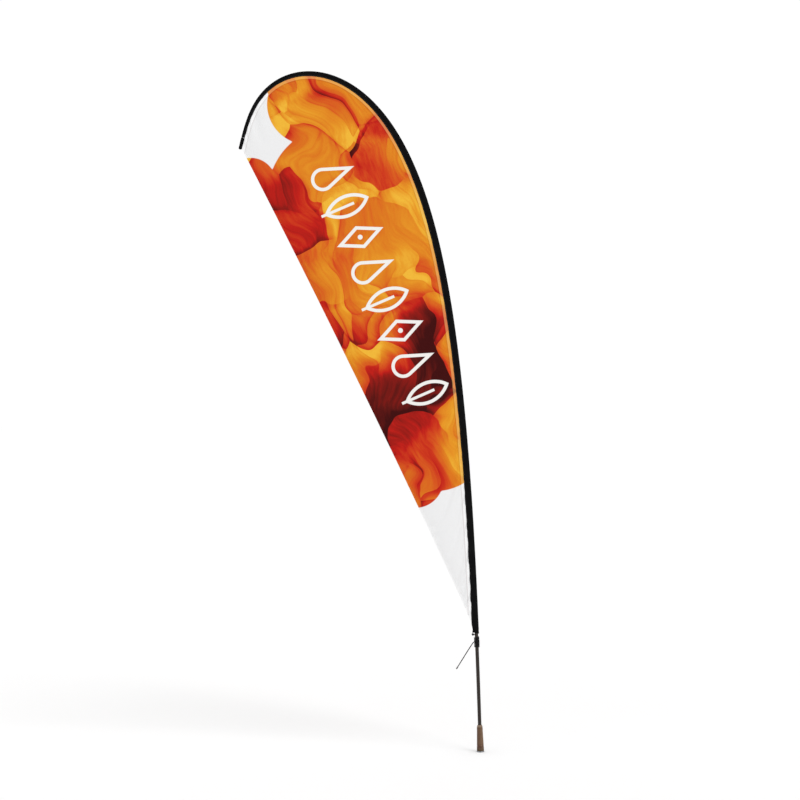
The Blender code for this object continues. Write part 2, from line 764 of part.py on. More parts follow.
class TrailingEdge:
    """The free edge between the two corners: nearly straight, and curved in a little towards the pole."""

    def __init__(self):
        self.low = seam_point(POCKET_LOW)
        chord = seam_point(FREE_POLE) - self.low
        self.length = float(np.hypot(*chord))
        self.up = chord / self.length
        self.inward = np.array((self.up[1], -self.up[0]))

    def point(self, reach, inset=0.0):
        """Point at this distance along the chord, moved in from the edge by inset."""
        return self.low + reach * self.up + (self.hollow(reach) + inset) * self.inward

    def hollow(self, reach):
        share = np.clip(reach / self.length, 0, 1)
        return 4 * HEM_HOLLOW * share * (1 - share)

    def clear_places(self, inset):
        """The stretch of seam that lies further in than inset: (lowest, highest) place along the pole."""
        places = np.arange(POCKET_LOW, FREE_POLE, FINE).tolist()
        rows = np.array([seam_point(p) - self.low for p in places])
        reach, depth = rows @ self.up, rows @ self.inward
        clear = np.flatnonzero(depth - self.hollow(reach) > inset)
        return places[clear[0]], places[clear[-1]]

    def run(self, low, high, inset, steps):
        """Points along the edge from one distance to another."""
        return [tuple(self.point(reach, inset)) for reach in np.linspace(low, high, steps)]

    def inner_run(self, low, high, inset, steps):
        """Points inside the edge between two places of the seam, a little short of the seam at both ends."""
        low_reach, high_reach = [float((seam_point(place) - self.low) @ self.up) for place in (low, high)]
        return self.run(low_reach + HEM_WIDTH, high_reach - 2 * FINE, inset, steps)


def make_flag(parent):
    edge = TrailingEdge()
    steps = 14
    low, high = edge.clear_places(HEM_WIDTH)
    outline = [*edge.run(edge.length, 0, 0, steps), tuple(seam_point(low))]
    outline += edge.inner_run(low, high, HEM_WIDTH, steps)
    plate("trailing_hem", outline, HEM_THICK, "printed_fabric", parent)
    inset = HEM_WIDTH + FIT
    low, high = edge.clear_places(inset)
    outline = edge.inner_run(low, high, inset, steps)
    outline += [tuple(seam_point(place)) for place in reversed(stations(low, high))]
    plate("flag_panel", outline, PANEL_THICK, "printed_fabric", parent)


# ---------------------------------------------------------------- tie cord
WRAP_RADIUS = (BASE_RADIUS + CORD / 2 + FIT) / math.cos(math.pi / CORD_STEPS)
WRAP_TOP = CUFF_LOW - CORD_BELOW_CUFF
WRAP_PITCH = CORD + CORD_PITCH_GAP
# Free tail, as (x, y, height) from the turn that it comes out of
TAIL_ROUTE = (
    (-0.0010, -0.0182, 0.0008),
    (-0.0110, -0.0164, -0.0012),
    (-0.0193, -0.0125, -0.0068),
    (-0.0275, -0.0085, -0.0185),
    (-0.0400, -0.0055, -0.0370),
    (-0.0535, -0.0030, -0.0572),
    (-0.0725, -0.0010, -0.0861),
    (-0.0976, 0.0005, -0.1240),
)
TAIL_TURN = 3.5  # turns from the top at which the tail comes out


def round_pole(place, radius, angle):
    """Point round the pole, at an angle from its outer side towards +Y."""
    return offset_point(place, radius * math.cos(angle), radius * math.sin(angle))


def tab_centre():
    """Middle of the webbing loop, under the seam side of the cuff."""
    return offset_point(CUFF_LOW - TAB_DROP, -cuff_tail(CUFF_LOW) - TAB_WEB)


def make_tie(parent):
    make_tab(parent)
    centre = tab_centre()
    passes = TAB_WIDTH / 2 + TAB_PASS
    tab_place = CUFF_LOW - TAB_DROP
    from_axis = line_point(tab_place).x - centre.x
    tab_radius, tab_angle = math.hypot(from_axis, passes), math.pi - math.atan2(passes, from_axis)
    lead = [centre - passes * Y_AXIS, centre, centre + passes * Y_AXIS]
    for i in range(1, LEAD_STEPS):
        share = i / LEAD_STEPS
        place = tab_place + (WRAP_TOP - tab_place) * share
        radius = tab_radius + (WRAP_RADIUS - tab_radius) * share
        lead.append(round_pole(place, radius, tab_angle - share * LEAD_TURN))
    start = tab_angle - LEAD_TURN
    turns = [
        round_pole(WRAP_TOP - WRAP_PITCH * i / CORD_STEPS, WRAP_RADIUS, start - 2 * math.pi * i / CORD_STEPS)
        for i in range(CORD_STEPS * CORD_TURNS + 1)
    ]
    cord_tube("tie_cord", lead + turns, CORD / 2, "black_cord", parent)
    make_knot(centre - (passes + KNOT_RADIUS + FIT) * Y_AXIS, parent)
    origin = line_point(WRAP_TOP - TAIL_TURN * WRAP_PITCH)
    route = smooth_route([origin + Vector(point) for point in TAIL_ROUTE], CORD_STRIDE * CORD)
    cord_tube("tie_cord_tail", route, CORD / 2, "black_cord", parent)
    make_cord_tip(route, parent)


def make_tab(parent):
    """Webbing loop: a teardrop of tape that hangs from the cuff's seam."""
    centre = tab_centre()
    top = CUFF_LOW + MOUTH - centre.z - FIT
    angles = [math.radians(a) for a in range(150, 391, 30)]
    outer, inner = [
        [(centre.x + radius * math.cos(a), centre.z + radius * math.sin(a)) for a in angles]
        for radius in (TAB_LOOP + TAB_WEB, TAB_LOOP)
    ]
    neck = TAB_WEB * TAB_NECK
    bm = bmesh.new()
    loops = []
    outer += [(centre.x + neck, centre.z + top), (centre.x - neck, centre.z + top)]
    inner += [(centre.x + neck / 3, centre.z + top - TAB_WEB), (centre.x - neck / 3, centre.z + top - TAB_WEB)]
    for side in (-TAB_WIDTH / 2, TAB_WIDTH / 2):
        loops.append([[bm.verts.new((x, side, z)) for x, z in line] for line in (outer, inner)])
    (front_out, front_in), (back_out, back_in) = loops
    for low, high in ((front_out, front_in), (front_in, back_in), (back_in, back_out), (back_out, front_out)):
        for i in range(len(low)):
            j = (i + 1) % len(low)
            bm.faces.new((low[i], low[j], high[j], high[i]))
    finish_mesh("webbing_tab", bm, "pocket_fabric", parent)


def make_knot(centre, parent):
    """Stopper knot that keeps the cord's fixed end in the tab."""
    bm = bmesh.new()
    shape = Matrix.Translation(centre) @ Matrix.Diagonal((1, 1, KNOT_SQUASH, 1))
    bmesh.ops.create_icosphere(bm, subdivisions=2, radius=KNOT_RADIUS, matrix=shape)
    finish_mesh("tie_cord_knot", bm, "black_cord", parent)


def make_cord_tip(route, parent):
    """Crimped end on the tail, a cup that the cord goes into."""
    direction = (route[-1] - route[-2]).normalized()
    radius = CORD / 2 + CORD_TIP_WALL
    tip = turned(
        "tie_cord_end",
        [
            (0, 0),
            (radius, 0),
            (radius, CORD_TIP_LENGTH - CORD_TIP_CHAMFER),
            (radius - CORD_TIP_CHAMFER, CORD_TIP_LENGTH),
            (0, CORD_TIP_LENGTH),
        ],
        "black_plastic",
        parent,
        steps=12,
    )
    tip.location = route[-1] + FIT * direction
    tip.rotation_euler = direction.to_track_quat("Z", "X").to_euler()


# ---------------------------------------------------------------- assembly
def make_group(name):
    group = bpy.data.objects.new(name, None)
    bpy.context.scene.collection.objects.link(group)
    return group


def main():
    for old in list(bpy.data.objects):
        bpy.data.objects.remove(old)
    fixed, rolling = make_group("ground_spike"), make_group("bearing_balls")
    turning, lifting = make_group("turning_socket"), make_group("pole_and_flag")
    make_spike(fixed)
    make_bearing("lower", LOWER_BEARING, fixed, turning, rolling)
    make_bearing("upper", UPPER_BEARING, fixed, turning, rolling)
    make_socket(turning)
    make_pole(lifting)
    make_pocket(lifting)
    make_flag(lifting)
    make_tie(lifting)


main()
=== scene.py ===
"""Looks of a teardrop flag on a turning ground spike.

The pole stands in a socket on a ground spike, bends over towards -X and carries a printed flag in the XZ
plane. Every piece is a surface worked out with numpy from a few sizes, in metres, in the frame of the solid
model.
"""

import logging
import math
from dataclasses import dataclass, field
from enum import Enum
from functools import reduce

import bpy
import numpy as np
from mathutils import Matrix


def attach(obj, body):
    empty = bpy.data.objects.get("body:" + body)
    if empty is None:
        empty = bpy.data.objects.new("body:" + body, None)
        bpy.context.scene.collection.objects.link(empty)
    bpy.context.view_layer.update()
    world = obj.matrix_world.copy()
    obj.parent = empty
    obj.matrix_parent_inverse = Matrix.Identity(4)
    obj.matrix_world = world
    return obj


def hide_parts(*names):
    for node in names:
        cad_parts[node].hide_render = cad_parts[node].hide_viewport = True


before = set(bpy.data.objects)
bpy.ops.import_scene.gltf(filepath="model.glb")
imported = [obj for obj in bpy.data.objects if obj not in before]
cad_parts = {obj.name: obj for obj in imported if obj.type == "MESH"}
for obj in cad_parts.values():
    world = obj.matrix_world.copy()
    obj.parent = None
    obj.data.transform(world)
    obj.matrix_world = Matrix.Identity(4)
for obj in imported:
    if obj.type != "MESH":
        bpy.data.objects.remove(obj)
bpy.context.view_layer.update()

Array = np.ndarray
Colour = tuple[float, float, float]
Points = list[tuple[float, float]]

LOG = logging.getLogger("teardrop_flag")
FIT = 0.0003
FULL = 2 * math.pi


# ---------------------------------------------------------------- arrays and meshes
def unit(vectors: Array) -> Array:
    """Vectors scaled to length one, along the last axis."""
    return vectors / np.maximum(np.linalg.norm(vectors, axis=-1, keepdims=True), 1e-12)


def ease(share: Array) -> Array:
    """Smooth step: 3 s squared minus 2 s cubed, with s held between 0 and 1."""
    held = np.clip(share, 0, 1)
    return held * held * (3 - 2 * held)


def circle(count: int) -> Array:
    """Even angles round a circle, from 0, as many as the count."""
    return np.linspace(0, FULL, count, endpoint=False)


def bell(at: Array, middle: float, width: float) -> Array:
    """Bell curve: e to the power of minus the square of the distance from the middle in widths."""
    return np.exp(-(((at - middle) / width) ** 2))


def boxed(wave: Array, power: float) -> Array:
    """Wave between -1 and 1 drawn towards a square one: its size to a power, with its own sign."""
    return np.sign(wave) * np.abs(wave) ** power


def zipped(*parts: Array | float) -> Array:
    """Coordinates broadcast together and put side by side along a new last axis."""
    return np.stack(np.broadcast_arrays(*parts), axis=-1)


def lengths_along(path: Array) -> Array:
    """Distance of each point of a path from its first, measured along it."""
    return np.concatenate([[0], np.cumsum(np.linalg.norm(np.diff(path, axis=0), axis=1))])


def evenly(path: Array, step: float) -> Array:
    """Points at even steps along a path, read linearly between its own points.

    Args:
        path: Points of the path, (n, 3).
        step: Wanted distance between two points.

    Returns:
        The new points, first and last kept.
    """
    reach = lengths_along(path)
    wanted = np.linspace(0, reach[-1], max(2, round(reach[-1] / step) + 1))
    return np.stack([np.interp(wanted, reach, path[:, k]) for k in range(path.shape[1])], axis=1)


def catmull_rom(points: Array, steps: int = 24) -> Array:
    """Smooth curve through points, by the Catmull-Rom cubic between each pair.

    Args:
        points: Points that the curve goes through, (n, 3).
        steps: Curve points between two of them.

    Returns:
        Points of the curve, (m, 3).
    """
    held = np.vstack([2 * points[0] - points[1], points, 2 * points[-1] - points[-2]])
    a, b, c, d = (held[i : len(held) - 3 + i, None, :] for i in range(4))
    t = (np.arange(steps) / steps)[None, :, None]
    curve = (2 * b + (c - a) * t + (2 * a - 5 * b + 4 * c - d) * t**2 + (3 * b - a - 3 * c + d) * t**3) / 2
    return np.vstack([curve.reshape(-1, points.shape[1]), points[-1]])


def softened(path: Array, times: int) -> Array:
    """Path whose inner points are replaced, some times over, by 1/4, 1/2, 1/4 of their neighbours and
    themselves."""
    out = path.copy()
    for _ in range(times):
        out[1:-1] = (out[:-2] + 2 * out[1:-1] + out[2:]) / 4
    return out


def rounded(points: Points, radius: float, steps: int = 4, loop: bool = True) -> Array:
    """Profile with its corners rounded by quadratic curves.

    Each corner is cut back by the radius, or by 0.45 of its shorter side, and a Bezier curve with the corner
    as its middle control point joins the two cuts. An open profile keeps its two end points.

    Args:
        points: Corners, as (radius, height) or (across, up).
        radius: How far each corner is cut back.
        steps: Points of each rounding, less one.
        loop: Whether the last corner joins the first.

    Returns:
        The rounded profile, (n, 2).

    """
    corners = np.array(points, float)
    before, after = np.roll(corners, 1, 0) - corners, np.roll(corners, -1, 0) - corners
    cut = np.minimum(radius, 0.45 * np.minimum(np.linalg.norm(before, axis=1), np.linalg.norm(after, axis=1)))
    start, end = corners + unit(before) * cut[:, None], corners + unit(after) * cut[:, None]
    t = np.linspace(0, 1, steps + 1)[None, :, None]
    curve = (1 - t) ** 2 * start[:, None] + 2 * t * (1 - t) * corners[:, None] + t**2 * end[:, None]
    if loop:
        return curve.reshape(-1, 2)
    return np.vstack([corners[:1], curve[1:-1].reshape(-1, 2), corners[-1:]])


@dataclass
class Skin:
    """Points, faces and laid-flat places of one piece, put together from grids and caps."""

    points: list[Array] = field(default_factory=list)
    flats: list[Array] = field(default_factory=list)
    faces: list[Array] = field(default_factory=list)
    count: int = 0

    def add(self, points: Array, flat: Array | None = None) -> int:
        """Adds loose points and their laid-flat places, and returns the first one's number."""
        first = self.count
        self.points.append(points.reshape(-1, 3))
        self.flats.append((points if flat is None else flat).reshape(-1, 3))
        self.count += len(self.points[-1])
        return first

    def grid(
        self, points: Array, flat: Array | None = None, rows_close: bool = False, columns_close: bool = True
    ) -> Array:
        """Adds a grid of quads.

        Args:
            points: Grid of points, (rows, columns, 3).
            flat: Laid-flat places in the same layout, or none for the points themselves.
            rows_close: Whether the last row joins the first.
            columns_close: Whether the last column joins the first.

        Returns:
            The points' numbers, (rows, columns).
        """
        rows, columns = points.shape[:2]
        numbers = self.add(points, flat) + np.arange(rows * columns).reshape(rows, columns)
        wide = np.vstack([numbers, numbers[:1]]) if rows_close else numbers
        wide = np.hstack([wide, wide[:, :1]]) if columns_close else wide
        quads = zipped(wide[:-1, :-1], wide[:-1, 1:], wide[1:, 1:], wide[1:, :-1])
        self.faces.append(quads.reshape(-1, 4))
        return numbers

    def cap(self, ring: Array, centre: Array, flat: Array, first: bool = False) -> None:
        """Closes a ring of a grid with a fan of triangles round a centre; first for a grid's first row."""
        middle = self.add(centre, flat)
        other = np.roll(ring, -1)
        pair = (other, ring) if first else (ring, other)
        self.faces.append(zipped(*pair, np.full(len(ring), middle)))

    def solid(
        self, points: Array, ends: Array, flat: Array | None = None, flat_ends: Array | None = None
    ) -> "Skin":
        """Adds a grid of rings and closes both of its ends with fans.

        Args:
            points: Rings, (rows, columns, 3).
            ends: Middles of the two fans, (2, 3).
            flat: Laid-flat places of the rings, or none for the points themselves.
            flat_ends: Laid-flat places of the two middles, or none for the middles themselves.

        Returns:
            The same skin.
        """
        numbers = self.grid(points, flat)
        laid = ends if flat_ends is None else flat_ends
        self.cap(numbers[0], ends[0], laid[0], first=True)
        self.cap(numbers[-1], ends[1], laid[1])
        return self

    def built(self, name: str, sharp: float = 40.0) -> bpy.types.Object:
        """Makes the mesh, with its faces outwards by the sign of its volume, and links its object.

        Args:
            name: The piece's name.
            sharp: Angle in degrees past which an edge stays sharp.

        Returns:
            The new object, at the origin.
        """
        points, flats = np.vstack(self.points), np.vstack(self.flats)
        fans = [f[:, [0, i, i + 1]] for f in self.faces for i in range(1, f.shape[1] - 1)]
        a, b, c = (points[np.vstack(fans)[:, k]] - points.mean(0) for k in range(3))
        outward = np.einsum("ij,ij->", a, np.cross(b, c)) > 0
        faces = [f if outward else f[:, ::-1] for f in self.faces]
        sizes = np.concatenate([np.full(len(f), f.shape[1]) for f in faces])
        corners = np.concatenate([f.ravel() for f in faces]).astype(np.int32)
        mesh = bpy.data.meshes.new(name)
        mesh.vertices.add(len(points))
        mesh.vertices.foreach_set("co", points.astype(np.float32).ravel())
        mesh.loops.add(len(corners))
        mesh.loops.foreach_set("vertex_index", corners)
        mesh.polygons.add(len(sizes))
        mesh.polygons.foreach_set("loop_start", np.concatenate([[0], np.cumsum(sizes)[:-1]]).astype(np.int32))
        mesh.update(calc_edges=True)
        laid = mesh.attributes.new("flat", "FLOAT_VECTOR", "POINT")
        laid.data.foreach_set("vector", flats.astype(np.float32).ravel())
        mesh.shade_smooth()
        mesh.set_sharp_from_angle(angle=math.radians(sharp))
        made = bpy.data.objects.new(name, mesh)
        bpy.context.scene.collection.objects.link(made)
        return made


class Body(Enum):
    """Moving bodies of the solid model."""

    SPIKE = "ground_spike"
    BALLS = "bearing_balls"
    SOCKET = "turning_socket"
    POLE = "pole_and_flag"


# ---------------------------------------------------------------- node trees
class Value:
    """Output of a node: arithmetic on it adds further nodes, on numbers or, for a vector or colour, on
    vectors."""

    def __init__(self, nodes: "Nodes", socket: bpy.types.NodeSocket) -> None:
        """Keeps the output with its tree."""
        self.nodes = nodes
        self.socket = socket

    def step(self, kind: str, a: object, b: object) -> "Value":
        """One step of arithmetic of this value's own kind."""
        if self.socket.type == "VALUE":
            return self.nodes.math(kind, a, b)
        return self.nodes.vector(kind, a, b)

    def __add__(self, other: object) -> "Value":
        """Sum."""
        return self.step("ADD", self, other)

    def __sub__(self, other: object) -> "Value":
        """Difference."""
        return self.step("SUBTRACT", self, other)

    def __rsub__(self, other: object) -> "Value":
        """Difference from a plain number."""
        return self.step("SUBTRACT", other, self)

    def __mul__(self, other: object) -> "Value":
        """Product; a vector is scaled by a number, and multiplied part by part by a vector."""
        if self.socket.type != "VALUE" and isinstance(other, float):
            return self.nodes.call("VectorMath", {0: self, "Scale": other}, operation="SCALE")
        return self.step("MULTIPLY", self, other)

    def __truediv__(self, other: object) -> "Value":
        """Quotient."""
        return self.step("DIVIDE", self, other)

    def __abs__(self) -> "Value":
        """Size without the sign."""
        return self.nodes.math("ABSOLUTE", self)


class Nodes:
    """Node tree of one material, with a call for each kind of node that the finishes use."""

    def __init__(self, name: str) -> None:
        """Makes the material and finds its shader."""
        self.material = bpy.data.materials.new(name)
        self.material.use_nodes = True
        self.tree = self.material.node_tree
        self.shader = self.tree.nodes["Principled BSDF"]

    def feed(self, socket: bpy.types.NodeSocket, value: object) -> None:
        """Links a value to a socket, or sets the socket to a plain number or colour."""
        if isinstance(value, Value):
            self.tree.links.new(value.socket, socket)
        elif value is not None:
            socket.default_value = (*value, 1.0) if socket.type == "RGBA" and len(value) == 3 else value

    def call(
        self, kind: str, inputs: dict[int | str, object], output: int | str = 0, **extra: object
    ) -> Value:
        """Adds a node, sets its properties, feeds its inputs and returns one of its outputs."""
        made = self.tree.nodes.new("ShaderNode" + kind)
        for name, value in extra.items():
            setattr(made, name, value)
        for key, value in inputs.items():
            self.feed(made.inputs[key], value)
        return Value(self, made.outputs[output])

    def laid_flat(self) -> Value:
        """Place on the piece laid flat or straightened, in metres."""
        return self.call("Attribute", {}, "Vector", attribute_name="flat")

    def place(self) -> Value:
        """Place in the object's own frame, in metres."""
        return self.call("TexCoord", {}, "Object")

    def math(self, kind: str, *values: object, clamp: bool = False) -> Value:
        """One step of arithmetic on numbers."""
        return self.call("Math", dict(enumerate(values)), operation=kind, use_clamp=clamp)

    def vector(self, kind: str, a: object, b: object = None) -> Value:
        """One step of arithmetic on vectors; a length, distance or dot product comes out as a number."""
        output = "Value" if kind in ("LENGTH", "DISTANCE", "DOT_PRODUCT") else "Vector"
        return self.call("VectorMath", {0: a, 1: b}, output, operation=kind)

    def split(self, vector: Value) -> list[Value]:
        """The three parts of a vector."""
        return [self.call("SeparateXYZ", {0: vector}, part) for part in range(3)]

    def joined(self, *parts: object) -> Value:
        """Vector of three numbers."""
        return self.call("CombineXYZ", dict(enumerate(parts)))

    def noise(
        self, vector: Value, scale: float, detail: float = 2.0, rough: float = 0.5, part: str = "Fac"
    ) -> Value:
        """Cloudy noise, as a number or, with part Color, as three."""
        inputs = {"Vector": vector, "Scale": scale, "Detail": detail, "Roughness": rough}
        return self.call("TexNoise", inputs, part)

    def cells(self, vector: Value, scale: float, part: str = "Distance", feature: str = "F1") -> Value:
        """Cell pattern: distance to the nearest cell's middle, that middle's place, or the cell's own
        colour."""
        return self.call("TexVoronoi", {"Vector": vector, "Scale": scale}, part, feature=feature)

    def ripple(self, value: Value, pitch: float) -> Value:
        """Sine of a length, from -1 to 1, that repeats at the pitch."""
        return self.math("SINE", value * (FULL / pitch))

    def span(self, value: Value, low: float, high: float, to_low: float = 0.0, to_high: float = 1.0) -> Value:
        """Value carried from one range to another in a smooth step, and held at both ends."""
        inputs = dict(enumerate((value, low, high, to_low, to_high)))
        return self.call("MapRange", inputs, interpolation_type="SMOOTHSTEP")

    def ramp(self, value: Value, stops: tuple[tuple[float, Colour], ...]) -> Value:
        """Colour read from stops at a value between 0 and 1."""
        made = self.call("ValToRGB", {0: value})
        band = made.socket.node.color_ramp.elements
        while len(band) < len(stops):
            band.new(0.5)
        for element, (place, colour) in zip(band, stops):
            element.position = place
            element.color = (*colour, 1.0)
        return made

    def mix(self, share: object, a: object, b: object, blend: str = "MIX") -> Value:
        """Colour between two by a share, or laid over by a blend."""
        return self.call("Mix", {0: share, 6: a, 7: b}, 2, data_type="RGBA", blend_type=blend)

    def bump(self, height: Value, distance: float, strength: float) -> None:
        """Bends the shader's normal by a height."""
        inputs = {"Strength": strength, "Distance": distance, "Height": height}
        self.set(Normal=self.call("Bump", inputs))

    def set(self, **values: object) -> None:
        """Feeds the shader's sockets, named with _ for a space."""
        for name, value in values.items():
            self.feed(self.shader.inputs[name.replace("_", " ")], value)


# ---------------------------------------------------------------- finishes
@dataclass(frozen=True)
class Finish:
    """A surface finish: a name, the record's slot that it stands for, and how it is painted."""

    name: str
    slot: str

    def paint(self, nodes: Nodes) -> None:
        """Fills the node tree; each finish has its own."""
        raise NotImplementedError

    def material(self) -> bpy.types.Material:
        """The finish as a material, made once."""
        found = bpy.data.materials.get(self.name)
        if found:
            return found
        nodes = Nodes(self.name)
        self.paint(nodes)
        return nodes.material


@dataclass(frozen=True)
class Zinc(Finish):
    """Hot-dipped zinc: grey crystals a few millimetres across, with dull white bloom."""

    crystal: float = 0.006
    light: Colour = (0.44, 0.45, 0.47)
    dark: Colour = (0.20, 0.21, 0.23)
    white: Colour = (0.50, 0.50, 0.48)

    def paint(self, nodes: Nodes) -> None:
        """Crystals from warped cells, bloom and fine grain from noise."""
        place = nodes.place()
        warped = place + nodes.noise(place, 220, part="Color") * 0.004
        crystal = nodes.split(nodes.cells(warped, 1 / self.crystal, "Color"))[0]
        bloom = nodes.span(nodes.noise(place, 45, 5, 0.65), 0.48, 0.72)
        nodes.set(
            Base_Color=nodes.mix(bloom * 0.55, nodes.mix(crystal, self.dark, self.light), self.white),
            Metallic=0.95 - bloom * 0.5,
            Roughness=crystal * 0.18 + nodes.span(bloom, 0, 1, 0.36, 0.6),
        )
        nodes.bump(crystal * 0.5 + nodes.noise(place, 1800, 2), 0.00006, 0.5)


@dataclass(frozen=True)
class TurnedMetal(Finish):
    """Turned or ground metal: fine rings about the axis, a little grime, and a set polish."""

    light: Colour
    dark: Colour
    polish: float
    pitch: float = 0.0003

    def paint(self, nodes: Nodes) -> None:
        """Rings from the sine of height and radius, broken up by noise."""
        place = nodes.place()
        x, y, z = nodes.split(place)
        radius = nodes.math("SQRT", x * x + y * y)
        streak = nodes.noise(nodes.joined(0.0, radius, z), 2600, 3)
        grime = nodes.span(nodes.noise(place, 160, 4, 0.6), 0.5, 0.75)
        nodes.set(
            Base_Color=nodes.mix(grime * 0.6, nodes.mix(streak, self.dark, self.light), self.dark),
            Metallic=1.0,
            Roughness=streak * 0.14 + nodes.span(grime, 0, 1, self.polish, 0.5),
        )
        nodes.bump(nodes.ripple(radius + z, self.pitch) * 0.4 + streak, 0.00002, 0.35)


@dataclass(frozen=True)
class SocketCoat(Finish):
    """Brown coat on the socket: satin and slightly pitted, tan where it is rubbed and tan painted on its +X
    side as the side that the light falls on, soil and rust near the ground."""

    brown: Colour = (0.090, 0.040, 0.018)
    tan: Colour = (0.250, 0.165, 0.100)
    rust: Colour = (0.060, 0.013, 0.008)
    soil: Colour = (0.048, 0.040, 0.022)

    def paint(self, nodes: Nodes) -> None:
        """Upright rubs from noise, with tan laid on towards +X as painted light on the lit side, a rust band
        at 30 mm and soil below 25 mm, broken up by noise."""
        place = nodes.place()
        x, y, z = nodes.split(place)
        cloud = nodes.noise(place, 95, 5, 0.62)
        rubs = nodes.noise(nodes.joined(x * 8.0, y * 8.0, z), 60, 4, 0.6)
        uneven = z + (cloud - 0.5) * 0.030
        # Tan rising towards +X is painted light on the lit side of the socket; the upright rubs from noise
        # are real wear.
        lit_side_and_wear = nodes.span(x * 11.0 + rubs, 0.38, 0.76)
        band = nodes.span(uneven, 0.014, 0.026) * nodes.span(uneven, 0.046, 0.032)
        rusty = band * nodes.span(nodes.noise(place, 150, 4), 0.40, 0.54)
        low = nodes.span(uneven, 0.030, 0.004)
        colour = nodes.mix(lit_side_and_wear * 0.6, self.brown, self.tan)
        colour = nodes.mix(rusty * 0.92, colour, self.rust)
        colour = nodes.mix(low * 0.8, colour, self.soil)
        nodes.set(
            Base_Color=nodes.mix(nodes.noise(place, 900, 3) * 0.18, colour, self.tan),
            Roughness=cloud * 0.22 + nodes.span(low, 0, 1, 0.38, 0.66),
            Specular_IOR_Level=0.3,
        )
        nodes.bump(nodes.cells(place, 620) * 0.5 + cloud * 1.5, 0.00022, 0.55)


@dataclass(frozen=True)
class Moulded(Finish):
    """Moulded plastic or rubber: fine spark texture, with paler dust where it gathers."""

    colour: Colour
    dust: Colour
    dustiness: float
    rough: float
    grain: float = 1400.0

    def paint(self, nodes: Nodes) -> None:
        """Dust from two noises, and a grain bump."""
        place = nodes.place()
        dusty = nodes.span(nodes.noise(place, 130, 5, 0.65), 0.4, 0.75) * self.dustiness
        grain = nodes.noise(place, self.grain, 2)
        nodes.set(
            Base_Color=nodes.mix(dusty + grain * 0.12, self.colour, self.dust),
            Roughness=(dusty + grain) * 0.14 + self.rough,
        )
        nodes.bump(grain, 0.00008, 0.5)


@dataclass(frozen=True)
class GlassFibre(Finish):
    """Glass-fibre tube: dark resin over lengthwise rovings and a crossed winding, semi-gloss and a bit
    scuffed."""

    resin: Colour = (0.0085, 0.0050, 0.0034)
    roving: Colour = (0.030, 0.021, 0.0155)
    scuff: Colour = (0.13, 0.12, 0.11)

    def paint(self, nodes: Nodes) -> None:
        """Noise drawn out along the tube for rovings, two crossed sines for the winding, sparse scuffs."""
        flat = nodes.laid_flat()
        rovings = nodes.noise(flat * (1.0, 1.0, 0.03), 900, 4, 0.6)
        x, y, along = nodes.split(flat)
        turn = nodes.math("ARCTAN2", y, x) * (1 / FULL)
        wound = [nodes.ripple(along * 90.0 + turn * way, 1.0) for way in (1.0, -1.0)]
        winding = nodes.math("MAXIMUM", *wound)
        scuffs = nodes.span(nodes.noise(flat * (1.0, 1.0, 0.25), 420, 5, 0.7), 0.63, 0.74)
        colour = nodes.mix(rovings * 0.9, self.resin, self.roving)
        colour = nodes.mix(nodes.span(winding, 0.2, 1.0) * 0.22, colour, self.roving)
        nodes.set(
            Base_Color=nodes.mix(scuffs * 0.5, colour, self.scuff),
            Roughness=scuffs * 0.3 + nodes.span(rovings, 0.3, 0.7, 0.24, 0.36),
            Specular_IOR_Level=0.28,
        )
        nodes.bump(winding * 0.35 + rovings, 0.00010, 0.35)


@dataclass(frozen=True)
class Webbing(Finish):
    """Black woven tape or cloth: a fine twill with lint and a faint sheen."""

    thread: float
    colour: Colour = (0.0018, 0.0018, 0.002)
    lint: Colour = (0.022, 0.022, 0.024)

    def paint(self, nodes: Nodes) -> None:
        """Crossed sines of the laid-flat place for the twill, noise for lint and fading."""
        flat = nodes.laid_flat()
        x, y, z = nodes.split(flat)
        weave = nodes.ripple(x + y + z, self.thread) * nodes.ripple(x + y - z, self.thread)
        lint = nodes.span(nodes.noise(flat, 700, 4, 0.7), 0.52, 0.8)
        fade = nodes.span(nodes.noise(flat, 14, 4, 0.6), 0.35, 0.75)
        share = lint * 0.22 + fade * 0.12 + nodes.span(weave, -1, 1) * 0.06
        nodes.set(
            Base_Color=nodes.mix(share, self.colour, self.lint),
            Roughness=nodes.span(weave, -1, 1, 0.82, 0.94),
            Specular_IOR_Level=0.08,
            Sheen_Weight=0.012,
            Sheen_Roughness=0.4,
        )
        nodes.bump(weave + lint * 0.6, 0.00012, 0.5)


@dataclass(frozen=True)
class BraidedCord(Finish):
    """Braided cord: black yarn with paler fibres, a little greyer along a stretch where a sheen is painted
    into the colour.
    """

    sheen_from: float
    sheen_to: float
    yarn: Colour = (0.0022, 0.0022, 0.0025)
    fibre: Colour = (0.020, 0.020, 0.021)
    sheen_grey: Colour = (0.020, 0.0195, 0.019)

    def paint(self, nodes: Nodes) -> None:
        """Fibres from fine drawn-out noise; the painted sheen is a smooth step along the cord."""
        flat = nodes.laid_flat()
        fibres = nodes.noise(flat * (1.0, 1.0, 0.35), 2600, 3, 0.6)
        # Painted sheen: grey laid over the black yarn along the cord, between the first and the second
        # length.
        sheen_share = nodes.span(nodes.split(flat)[2], self.sheen_from, self.sheen_to, 0.0, 0.85)
        colour = nodes.mix(nodes.span(fibres, 0.35, 0.75), self.yarn, self.fibre)
        nodes.set(
            Base_Color=nodes.mix(sheen_share * nodes.span(fibres, 0.2, 0.7, 0.6, 1.0), colour, self.sheen_grey),
            Roughness=nodes.span(fibres, 0.3, 0.8, 0.78, 0.92),
            Specular_IOR_Level=0.10,
            Sheen_Weight=0.02,
        )
        nodes.bump(fibres, 0.00018, 0.6)


